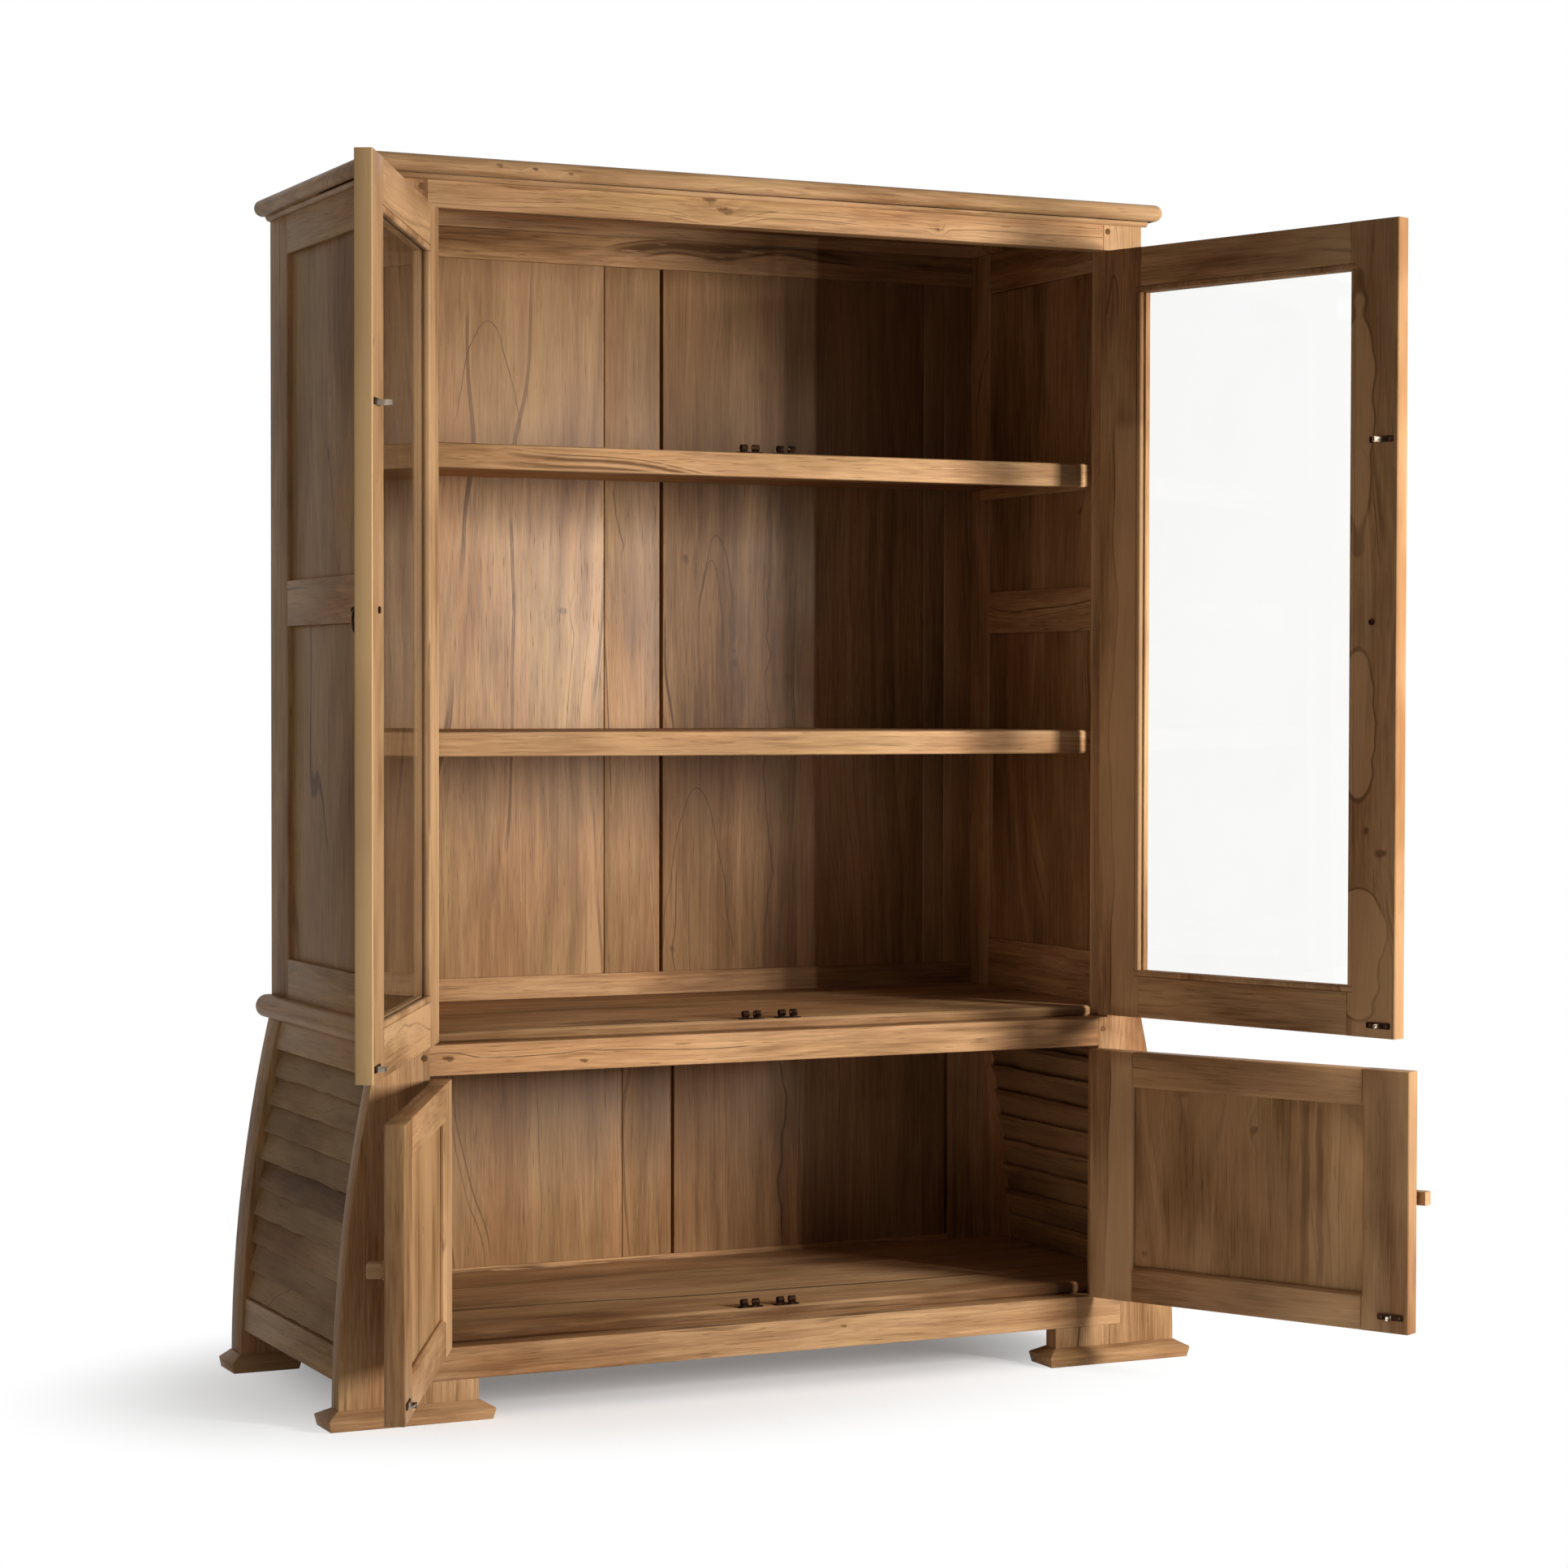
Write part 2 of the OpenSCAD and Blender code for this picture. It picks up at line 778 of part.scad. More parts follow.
third = hinge_h / 6;
jamb_spans = [[-hinge_h / 2, -third - knuckle_gap / 2], [third + knuckle_gap / 2, hinge_h / 2]];
door_spans = [[-third + knuckle_gap / 2, third - knuckle_gap / 2]];

module hinge_jamb_leaves() {
    color(BRASS) both() {
        for (z = up_hinge_z)
            hinge_leaf(open_half, open_half + plate_sunk - plate_t, z, jamb_spans);
        for (z = low_hinge_z)
            hinge_leaf(low_open, low_open + plate_sunk - plate_t, z, jamb_spans);
    }
}

module door_leaves(pin_x, heights) {
    color(BRASS) for (z = heights)
        hinge_leaf(pin_x, pin_x - door_gap - plate_sunk, z, door_spans);
}

module hinge_pin(x, z) {
    translate([x, -pin_proud, z - hinge_h / 2 - pin_head_t])
        cylinder(r = hinge_pin_r, h = hinge_h + 2 * pin_head_t, $fn = 48);
    for (h = [z - hinge_h / 2 - pin_head_t, z + hinge_h / 2])
        translate([x, -pin_proud, h]) cylinder(r = pin_head_r, h = pin_head_t, $fn = 48);
}

module hinge_pins() {
    color(BRASS) both() {
        for (z = up_hinge_z) hinge_pin(open_half, z);
        for (z = low_hinge_z) hinge_pin(low_open, z);
    }
}

// Ball catches: two barrels on a base plate, each with a ball in its mouth. The plate runs past
// the barrels for its screws

module catch_case(y, z) {
    difference() {
        union() {
            block([catch_x - catch_l / 2, y, z], [catch_x + catch_l / 2, y + catch_d,
                z + catch_base_t]);
            for (s = [-1, 1]) {
                x = catch_x + (s < 0 ? -barrel_out : mouth_half);
                l = barrel_out - mouth_half;
                rod_x([x, y + catch_d / 2, z + catch_axis], barrel_r, l);
                block([x, y + catch_d / 2 - catch_web, z + catch_base_t / 2],
                    [x + l, y + catch_d / 2 + catch_web, z + catch_axis]);
            }
        }
        for (s = [-1, 1])
            rod_x([catch_x + (s < 0 ? -bore_end : mouth_half - through),
                y + catch_d / 2, z + catch_axis], ball_bore_r, bore_end + through - mouth_half);
    }
}

module catch_balls_at(y, z) {
    for (s = [-1, 1])
        translate([catch_x + s * (ball_gap + ball_r), y + catch_d / 2, z + catch_axis])
            sphere(r = ball_r, $fn = 32);
}

catch_places = [[shelf_y + catch_in, shelf_upper_z], [floor_y + catch_in, floor_z],
    [low_floor_y + catch_in, base_floor_z]];

module catch_cases() {
    color(IRON) both() for (p = catch_places) catch_case(p[0], p[1]);
}
module catch_balls() {
    color(BRASS) both() for (p = catch_places) catch_balls_at(p[0], p[1]);
}

// The strike on a door: a plate with a tongue that enters the catch
module strike(door_t, place) {
    z = place[1] + catch_axis;
    color(IRON) union() {
        block([catch_x - strike_w / 2, door_t, z - strike_h / 2 + 1],
            [catch_x + strike_w / 2, door_t + strike_t, z + strike_h / 2 + 1]);
        block([catch_x - tongue_half, door_t, z - tongue_h / 2],
            [catch_x + tongue_half, place[0] + catch_d / 2 + 2, z + tongue_h / 2]);
    }
}

// Upper doors, drawn shut on the right side

module up_frame() {
    difference() {
        block([up_x0, 0, up_z0], [up_x1, up_door_t, up_z1]);
        block([sight_x0, -1, sight_z0], [sight_x1, up_door_t + 1, sight_z1]);
        block([sight_x0 - rebate_w, lip_t, sight_z0 - rebate_w],
            [sight_x1 + rebate_w, up_door_t + 1, sight_z1 + rebate_w]);
        door_pockets(up_x1, up_hinge_z);
        rod_y([ring_x, -1, ring_z], bolt_r + 0.1, up_door_t + 2);
    }
}

module up_stiles() {
    color(WOOD_LIGHT) intersection() {
        up_frame();
        union() {
            board_z([up_x0, 0, up_z0], [sight_x0, up_door_t, up_z1]);
            board_z([sight_x1, 0, up_z0], [up_x1, up_door_t, up_z1]);
        }
    }
}

module up_rails() {
    color(WOOD_LIGHT) intersection() {
        up_frame();
        union() {
            board_x([sight_x0, 0, up_z0], [sight_x1, up_door_t, sight_z0]);
            board_x([sight_x0, 0, sight_z1], [sight_x1, up_door_t, up_z1]);
        }
    }
}

module up_beads() {
    y = lip_t + glass_t + 2 * loose;
    x0 = sight_x0 - rebate_w;
    x1 = sight_x1 + rebate_w;
    color(WOOD_LIGHT) {
        for (z = [sight_z0 - rebate_w, sight_z1])
            board_x([x0, y, z], [x1, up_door_t, z + rebate_w], bead_edge);
        for (x = [x0, sight_x1])
            board_z([x, y, sight_z0 + loose], [x + rebate_w, up_door_t, sight_z1 - loose],
                bead_edge);
    }
}

module up_glass() {
    grow = rebate_w - 0.5;
    color(GLASS) block([sight_x0 - grow, lip_t + loose, sight_z0 - grow],
        [sight_x1 + grow, lip_t + loose + glass_t, sight_z1 + grow]);
}

module up_strikes() {
    strike(up_door_t, catch_places[0]);
    strike(up_door_t, catch_places[1]);
}

module up_ring_plate() {
    color(IRON) difference() {
        union() {
            rod_y([ring_x, -plate_h, ring_z], plate_r, plate_h);
            rod_y([ring_x, -plate_h, ring_z], bolt_r, plate_h + up_door_t + nut_h);
            rod_y([ring_x, up_door_t, ring_z], nut_r, nut_h);
            block([ring_x - eye_w / 2, -eye_out, ring_z - 5],
                [ring_x + eye_w / 2, -plate_h + eps, ring_z + 5]);
            rod_x([ring_x - eye_w / 2, -eye_out, ring_z], 5, eye_w);
        }
        rod_x([ring_x - eye_w, -eye_out, ring_z], wire_r + 0.6, 2 * eye_w);
    }
}

module up_ring() {
    color(IRON) translate([ring_x, -eye_out, ring_z - ring_r]) rotate([90, 0, 0])
        rotate_extrude($fn = 64) translate([ring_r, 0]) circle(r = wire_r, $fn = 24);
}

// Lower doors, drawn shut on the right side

module low_frame() {
    x0 = door_gap + low_stile_w;
    x1 = low_x1 - low_stile_w;
    z0 = low_z0 + low_rail_h;
    z1 = low_z1 - low_rail_h;
    difference() {
        block([door_gap, 0, low_z0], [low_x1, low_door_t, low_z1]);
        block([x0, -1, z0], [x1, low_door_t + 1, z1]);
        block([x0 - groove, panel_y - loose, z0 - groove],
            [x1 + groove, panel_y + low_panel_t + loose, z1 + groove]);
        door_pockets(low_x1, low_hinge_z);
        hull() {
            block([x0, low_door_t - bevel, z0], [x1, low_door_t - bevel + eps, z1]);
            block([x0 - bevel, low_door_t, z0 - bevel],
                [x1 + bevel, low_door_t + eps, z1 + bevel]);
        }
    }
}

module low_stiles() {
    color(WOOD_LIGHT) intersection() {
        low_frame();
        union() {
            board_z([door_gap, 0, low_z0], [door_gap + low_stile_w, low_door_t, low_z1]);
            board_z([low_x1 - low_stile_w, 0, low_z0], [low_x1, low_door_t, low_z1]);
        }
    }
}

module low_rails() {
    x0 = door_gap + low_stile_w;
    x1 = low_x1 - low_stile_w;
    color(WOOD_LIGHT) intersection() {
        low_frame();
        union() {
            board_x([x0, 0, low_z0], [x1, low_door_t, low_z0 + low_rail_h]);
            board_x([x0, 0, low_z1 - low_rail_h], [x1, low_door_t, low_z1]);
        }
    }
}

module low_panel() {
    color(WOOD) block(
        [door_gap + low_stile_w - tongue, panel_y, low_z0 + low_rail_h - tongue],
        [low_x1 - low_stile_w + tongue, panel_y + low_panel_t, low_z1 - low_rail_h + tongue]);
}

// A square knob on a low round rosette; a lap lengthens it past the meeting edge
module low_knob(lap) {
    s = knob_s / 2;
    x0 = lap > 0 ? door_gap - lap : knob_x - s;
    color(WOOD) union() {
        translate([knob_x, 0, knob_z]) rotate([90, 0, 0])
            cylinder(r1 = rosette_r, r2 = rosette_top_r, h = rosette_h, $fn = 64);
        board_y([x0, -rosette_h - knob_s, knob_z - s],
            [knob_x + s, -rosette_h + eps, knob_z + s], knob_edge);
    }
}

// Each door's pieces, hung at rest

module ul() { hang(-1, open_half, up_left_angle) children(); }
module ur() { hang(1, open_half, up_right_angle) children(); }
module ll() { hang(-1, low_open, low_left_angle) children(); }
module lr() { hang(1, low_open, low_right_angle) children(); }

module ul_stiles() { ul() up_stiles(); }
module ul_rails() { ul() up_rails(); }
module ul_beads() { ul() up_beads(); }
module ul_glass() { ul() up_glass(); }
module ul_hinges() { ul() door_leaves(open_half, up_hinge_z); }
module ul_strikes() { ul() up_strikes(); }
module ul_ring_plate() { ul() up_ring_plate(); }
module ul_ring() { ul() up_ring(); }
module ur_stiles() { ur() up_stiles(); }
module ur_rails() { ur() up_rails(); }
module ur_beads() { ur() up_beads(); }
module ur_glass() { ur() up_glass(); }
module ur_hinges() { ur() door_leaves(open_half, up_hinge_z); }
module ur_strikes() { ur() up_strikes(); }
module ur_ring_plate() { ur() up_ring_plate(); }
module ur_ring() { ur() up_ring(); }
module ll_stiles() { ll() low_stiles(); }
module ll_rails() { ll() low_rails(); }
module ll_panel() { ll() low_panel(); }
module ll_hinges() { ll() door_leaves(low_open, low_hinge_z); }
module ll_strike() { ll() strike(low_door_t, catch_places[2]); }
module ll_knob() { ll() low_knob(0); }
module lr_stiles() { lr() low_stiles(); }
module lr_rails() { lr() low_rails(); }
module lr_panel() { lr() low_panel(); }
module lr_hinges() { lr() door_leaves(low_open, low_hinge_z); }
module lr_strike() { lr() strike(low_door_t, catch_places[2]); }
module lr_knob() { lr() low_knob(knob_lap); }

top_cap();
cap_bead();
fascia_rail();
upper_front_posts();
upper_side_stiles();
upper_side_rails();
upper_side_panels();
back_rails();
back_cover_strips();
upper_back_boards();
shelf_upper();
shelf_lower();
shelf_cleats();
upper_floor();
waist_mouldings();
base_front_posts();
base_back_posts();
mid_rail();
bottom_rail();
base_side_rails();
base_slats_left();
base_slats_right();
base_back_boards();
base_floor();
foot_blocks();
foot_mouldings();
catch_cases();
catch_balls();
joint_pegs();
hinge_jamb_leaves();
hinge_pins();
ul_stiles();
ul_rails();
ul_beads();
ul_glass();
ul_hinges();
ul_strikes();
ul_ring_plate();
ul_ring();
ur_stiles();
ur_rails();
ur_beads();
ur_glass();
ur_hinges();
ur_strikes();
ur_ring_plate();
ur_ring();
ll_stiles();
ll_rails();
ll_panel();
ll_hinges();
ll_strike();
ll_knob();
lr_stiles();
lr_rails();
lr_panel();
lr_hinges();
lr_strike();
lr_knob();
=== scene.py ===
# %% [markdown]
# # A display cabinet in solid wood
# The cabinet is built from about sixty boards and fittings. Their sizes and places come from a
# packed model, the frame, where each node is one kind of board and each body is what moves as one.
# Boards, hinges and plates are shown as copies of the frame's shapes with softer edges. Slats,
# catches, strikes, knobs and screws get finer shapes of their own. Lengths are in metres, unless a
# helper says that it takes millimetres.

# %% Load the frame
import json
import math

import bmesh
import bpy
from mathutils import Matrix, Vector

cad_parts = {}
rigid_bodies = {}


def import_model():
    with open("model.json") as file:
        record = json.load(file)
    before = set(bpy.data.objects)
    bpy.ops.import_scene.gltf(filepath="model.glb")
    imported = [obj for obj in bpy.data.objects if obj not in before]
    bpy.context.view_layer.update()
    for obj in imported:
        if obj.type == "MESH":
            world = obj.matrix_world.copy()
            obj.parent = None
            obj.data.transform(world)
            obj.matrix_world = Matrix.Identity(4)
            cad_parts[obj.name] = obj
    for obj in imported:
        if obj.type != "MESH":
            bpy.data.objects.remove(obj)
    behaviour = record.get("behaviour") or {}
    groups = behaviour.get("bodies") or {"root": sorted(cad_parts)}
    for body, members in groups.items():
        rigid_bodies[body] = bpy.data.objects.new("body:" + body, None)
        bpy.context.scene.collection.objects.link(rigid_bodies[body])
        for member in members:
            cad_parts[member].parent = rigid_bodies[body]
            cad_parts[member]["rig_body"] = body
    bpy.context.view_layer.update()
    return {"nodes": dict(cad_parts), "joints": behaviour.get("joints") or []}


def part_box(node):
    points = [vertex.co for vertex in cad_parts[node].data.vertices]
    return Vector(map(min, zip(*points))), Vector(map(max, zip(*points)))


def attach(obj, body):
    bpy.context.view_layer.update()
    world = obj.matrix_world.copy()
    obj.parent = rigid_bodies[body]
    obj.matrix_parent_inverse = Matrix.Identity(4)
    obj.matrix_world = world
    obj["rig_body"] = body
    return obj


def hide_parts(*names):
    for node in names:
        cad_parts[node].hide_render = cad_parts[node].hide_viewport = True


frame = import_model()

bpy.ops.object.select_all(action="DESELECT")
MM = 0.001

# %% [markdown]
# ## The camera
# The photograph was taken from the left, at about the height of a seated person's eyes, with a
# long lens. A camera can be aimed with a constraint or by turning it in degrees. Here the place,
# the turn and the lens were worked out from the cabinet's edges, so plain numbers are the safest
# way.

# %% The camera
bpy.ops.object.camera_add(location=(-2.454, -5.256, 1.143))
camera = bpy.context.object
camera.name = "photo_camera"
camera.rotation_mode = "XYZ"
camera.rotation_euler = [math.radians(a) for a in (90 - 1.4, -0.1, -25.1)]
camera.data.sensor_width = 36
camera.data.lens = 81.1
bpy.context.scene.camera = camera
print("camera at", tuple(camera.location))

# %% [markdown]
# ## Light
# A tall narrow lamp stands in front on the right, and a wide weak one far off on the left fills
# the shadows. A sun would cut hard edges and a point lamp leave a hot spot, so both are area
# lamps, like the softboxes of a studio. They stay weak, because a colour should render about as it
# is written.

# %% Lamps
def softbox(name, width, height, watts, place, target):
    """A rectangular area lamp at a place, aimed at a target."""
    bpy.ops.object.light_add(type="AREA", location=place)
    lamp = bpy.context.object
    lamp.name = name
    lamp.data.shape = "RECTANGLE"
    lamp.data.size = width
    lamp.data.size_y = height
    lamp.data.energy = watts
    aim = Vector(target) - Vector(place)
    lamp.rotation_euler = aim.to_track_quat("-Z", "Y").to_euler()
    return lamp


key_lamp = softbox("key_lamp", width=0.45, height=1.2, watts=55,
                   place=(2.64, -3.5, 1.55), target=(0.2, 0, 1.15))
key_lamp.data.spread = math.radians(80)
key_lamp.data.color = (1.0, 0.965, 0.91)
side_fill = softbox("side_fill", width=2.0, height=2.2, watts=20,
                    place=(-4.3, -1.7, 1.4), target=(0, -0.2, 1.0))
side_fill.data.color = (1.0, 0.90, 0.77)
print("key lamp at", [round(v, 2) for v in key_lamp.location])

# %% [markdown]
# ## A short way to write shader maths
# A material is a sheet of nodes. Placing each Math node by hand is slow to read, so a small class
# wraps a socket and lets Python's own operators add the nodes: `1 - mask * 0.5` makes two of them.

# %% Sockets
class Socket:
    """An output socket. Arithmetic on it adds Math nodes."""

    def __init__(self, sheet, output):
        self.sheet = sheet
        self.output = output

    def math(self, operation, other=0.0):
        """A Math node with this socket as its first input."""
        return self.sheet.node("ShaderNodeMath", {"operation": operation}, {0: self, 1: other})

    def __add__(self, other):
        return self.math("ADD", other)

    def __sub__(self, other):
        return self.math("SUBTRACT", other)

    def __rsub__(self, other):
        return self.sheet.node("ShaderNodeMath", {"operation": "SUBTRACT"}, {0: other, 1: self})

    def __mul__(self, other):
        return self.math("MULTIPLY", other)

    def __truediv__(self, other):
        return self.math("DIVIDE", other)

    def __pow__(self, other):
        return self.math("POWER", other)

    def __lt__(self, other):
        return self.math("LESS_THAN", other)

    def __gt__(self, other):
        return self.math("GREATER_THAN", other)

    def __abs__(self):
        return self.math("ABSOLUTE")

    __radd__ = __add__
    __rmul__ = __mul__


print("a socket knows", sum(name.startswith("__r") for name in vars(Socket)), "reflected sums")

# %% [markdown]
# ## One method for every other node
# Everything that isn't a sum goes through one method, `node`, which takes the node's kind, its
# settings and the values or links of its sockets. The short methods after it name the few nodes
# that come again and again, so that a finish further down reads like a recipe.

# %% Sheets of nodes
class Sheet:
    """A sheet of nodes, filled node by node."""

    def __init__(self, tree):
        self.tree = tree

    def node(self, kind, settings=None, inputs=None, output=0):
        """Adds a node: its settings first, then the values or links of its sockets."""
        made = self.tree.nodes.new(kind)
        for key, value in (settings or {}).items():
            if key == "stops":
                self.fill(made.color_ramp, value)
            else:
                setattr(made, key, value)
        self.feed(made, inputs or {})
        return Socket(self, made.outputs[output])

    def feed(self, node, inputs):
        for key, value in inputs.items():
            if isinstance(value, Socket):
                self.tree.links.new(value.output, node.inputs[key])
            else:
                node.inputs[key].default_value = value

    def fill(self, ramp, stops):
        while len(ramp.elements) < len(stops):
            ramp.elements.new(1.0)
        for element, (place, colour) in zip(ramp.elements, stops):
            element.position = place
            element.color = colour

    def spot(self):
        """The point's place, in metres."""
        return self.node("ShaderNodeTexCoord", output=3)

    def arris(self):
        """How far a face looks away from the three axes, as it does on a rounded edge."""
        x, y, z = self.separate(self.node("ShaderNodeTexCoord", output=1))
        return abs(x * y) + abs(y * z) + abs(x * z)

    def noise(self, vector, scale=1.0, detail=2.0, roughness=0.5):
        return self.node("ShaderNodeTexNoise", {}, {"Vector": vector, "Scale": scale,
                                                    "Detail": detail, "Roughness": roughness})

    def stripes(self, place, detail=2.0):
        """Noise along one number, for bands of uneven width."""
        return self.node("ShaderNodeTexNoise", {"noise_dimensions": "1D"},
                         {"W": place, "Scale": 1.0, "Detail": detail})

    def chance(self, number):
        """A number between 0 and 1 that is another one for every input."""
        return self.node("ShaderNodeTexWhiteNoise", {"noise_dimensions": "1D"}, {"W": number})

    def combine(self, x, y, z):
        return self.node("ShaderNodeCombineXYZ", {}, {0: x, 1: y, 2: z})

    def separate(self, vector):
        made = self.node("ShaderNodeSeparateXYZ", {}, {0: vector}).output.node
        return [Socket(self, output) for output in made.outputs]

    def vector(self, operation, first, second=(0, 0, 0), output=0):
        return self.node("ShaderNodeVectorMath", {"operation": operation},
                         {0: first, 1: second}, output)

    def smooth(self, value, low, high, start=0.0, end=1.0):
        """Runs smoothly from start at low to end at high."""
        return self.node("ShaderNodeMapRange", {"interpolation_type": "SMOOTHSTEP"},
                         {0: value, 1: low, 2: high, 3: start, 4: end})

    def between(self, value, low, high, soft):
        """1 between two values, with soft ends inside them."""
        return self.smooth(value, low, low + soft) * self.smooth(value, high - soft, high, 1.0, 0.0)

    def mix(self, first, second, share, blend="MIX"):
        return self.node("ShaderNodeMix", {"data_type": "RGBA", "blend_type": blend},
                         {0: share, 6: first, 7: second}, output=2)

    def ramp(self, value, stops):
        return self.node("ShaderNodeValToRGB", {"stops": stops}, {0: value})

    def bump(self, height, strength, distance):
        return self.node("ShaderNodeBump", {}, {"Height": height, "Strength": strength,
                                                "Distance": distance})

    def emission(self, strength):
        return self.node("ShaderNodeEmission", {}, {"Color": WHITE, "Strength": strength})

    def mix_shader(self, share, first, second):
        return self.node("ShaderNodeMixShader", {}, {0: share, 1: first, 2: second})


WHITE = (1, 1, 1, 1)
print("a sheet has", sum(callable(value) for value in vars(Sheet).values()), "methods")

# %% [markdown]
# ## Finishes and their colours
# A finish is a material, whose sheet starts with one Principled shader. Blender counts colours as
# amounts of light, while a paint chart counts steps that look even to the eye. One small function
# turns the second into the first, so that the colours below can be compared with a chart.

# %% Finishes
class Finish(Sheet):
    """A material with one Principled shader."""

    def __init__(self, name):
        self.material = bpy.data.materials.new(name)
        self.material.use_nodes = True
        super().__init__(self.material.node_tree)
        self.shader = self.tree.nodes["Principled BSDF"]

    def set(self, **inputs):
        """Sets or links the Principled shader's sockets: underscores stand for spaces."""
        self.feed(self.shader, {key.replace("_", " "): value for key, value in inputs.items()})

    def show(self, shader):
        """Puts another shader in the Principled one's place."""
        self.feed(self.tree.nodes["Material Output"], {"Surface": shader})


def linear(level):
    level = level / 255
    return level / 12.92 if level <= 0.04045 else ((level + 0.055) / 1.055) ** 2.4


def rgb(red, green, blue):
    """A colour written as a paint chart gives it, from 0 to 255."""
    return (linear(red), linear(green), linear(blue), 1.0)


print("middle grey is", [round(v, 3) for v in rgb(128, 128, 128)])

# %% [markdown]
# ## A white room that lights nothing
# The room is pure white, but only for what the camera sees: a bright world would also wash out the
# wood. Light Path tells the camera's rays from the rest. Rays that are mirrored or pass through
# glass count as seen too, or the panes and fittings would show a dark room.

# %% Sky
SKY_FILL = 0.055


def seen_rays(sheet):
    """1 for what the camera sees, straight or in a mirror or a pane."""
    rays = sheet.node("ShaderNodeLightPath").output.node.outputs
    seen = Socket(sheet, rays["Is Camera Ray"])
    for ray in ("Is Glossy Ray", "Is Transmission Ray"):
        seen = seen.math("MAXIMUM", Socket(sheet, rays[ray]))
    return seen


world = bpy.data.worlds.new("studio")
bpy.context.scene.world = world
world.use_nodes = True
sky = Sheet(world.node_tree)
fill = world.node_tree.nodes["Background"]
sky.feed(fill, {"Color": WHITE, "Strength": SKY_FILL})
white = sky.node("ShaderNodeBackground", {}, {"Color": WHITE, "Strength": 1.0})
dome = sky.mix_shader(seen_rays(sky), Socket(sky, fill.outputs[0]), white)
sky.feed(world.node_tree.nodes["World Output"], {"Surface": dome})
bpy.context.scene.view_settings.view_transform = "Standard"
print("sky strength", SKY_FILL)

# %% [markdown]
# ## The floor and its shadow
# The floor is a wide plane. For the camera its material adds a little glow to the true shading, so
# that open floor reaches white and the cabinet's soft shadow stays on it. There is less glow under
# the cabinet, which keeps the floor dark there, and further off it all fades to pure white.

# %% Floor
GLOW = 0.42
DARK_HALF_WIDTH, DARK_MIDDLE_Y = 0.70, 0.29
OVAL, OVAL_MIDDLE = (1, 1.5, 1), (-0.15, 0.45, 0)

bpy.ops.mesh.primitive_plane_add(size=14, location=(0, 0, 0))
floor = bpy.context.object
floor.name = "studio_floor"
ground = Finish("pale_floor")
ground.set(Base_Color=rgb(237, 241, 247), Roughness=0.9)
bare = Socket(ground, ground.shader.outputs[0])
spot = ground.spot()
along, back, _ = ground.separate(spot)
outside = (abs(along) - DARK_HALF_WIDTH).math("MAXIMUM", abs(back - DARK_MIDDLE_Y) - DARK_MIDDLE_Y)
lifted = ground.node("ShaderNodeAddShader", {}, {0: bare, 1: ground.emission(GLOW)})
lifted = ground.mix_shader(ground.smooth(outside, -0.12, 0.06, 0.45, 1.0), bare, lifted)
far = ground.vector("DISTANCE", ground.vector("MULTIPLY", spot, OVAL), OVAL_MIDDLE, output=1)
shown = ground.mix_shader(ground.smooth(far, 0.52, 1.10), lifted, ground.emission(1.0))
ground.show(ground.mix_shader(seen_rays(ground), bare, shown))
floor.data.materials.append(ground.material)
print("floor:", tuple(floor.dimensions))

# %% [markdown]
# ## How the doors hang
# Each door is modelled shut, on the right side of the cabinet, because a shut door is square to
# the axes and easy to measure. Then it is mirrored for the left side and swung about its pin to
# the place where it stands in the photograph. The pin and the angle come from the frame's joints.

# %% Doors
class Door:
    """A hinged door: its body, pin and side, and the turns that mirror it and swing it open."""

    def __init__(self, joint):
        self.body = joint["child"]
        self.pin = Vector(joint["pos_m"])
        self.side = 1 if self.pin.x > 0 else -1
        self.angle = -self.side * math.radians(joint["range_deg"][0])
        to_pin = Matrix.Translation(self.pin)
        self.swing = to_pin @ Matrix.Rotation(self.angle, 4, "Z") @ to_pin.inverted()
        self.mirror = Matrix.Scale(self.side, 4, (1, 0, 0))
        self.open = self.swing @ self.mirror


joints = {joint["name"]: joint for joint in frame["joints"]}
doors = {key: Door(joints[name])
         for key, name in (("ul", "upper_left_door"), ("ur", "upper_right_door"),
                           ("ll", "lower_left_door"), ("lr", "lower_right_door"))}
print({key: round(math.degrees(door.angle)) for key, door in doors.items()})

# %% [markdown]
# ## Where a point lies in its board
# Wood has its fibres all running one way, so its finish first has to know how far a point lies
# along its board, across it and into it. Boards that share a material differ by a seed, a number
# that jumps from board to board. The boards of an open door stand askew. A Mapping node turns them
# square again first, so that their grain follows the door.

# %% Timber
GRAIN_ORDER = {"X": (0, 1, 2), "Y": (1, 0, 2), "Z": (2, 0, 1)}
FIRST_JUMP, NEXT_JUMP, STEP_JUMP, SIDE_SHARE = 3.7, 1.9, 1.37, 0.37


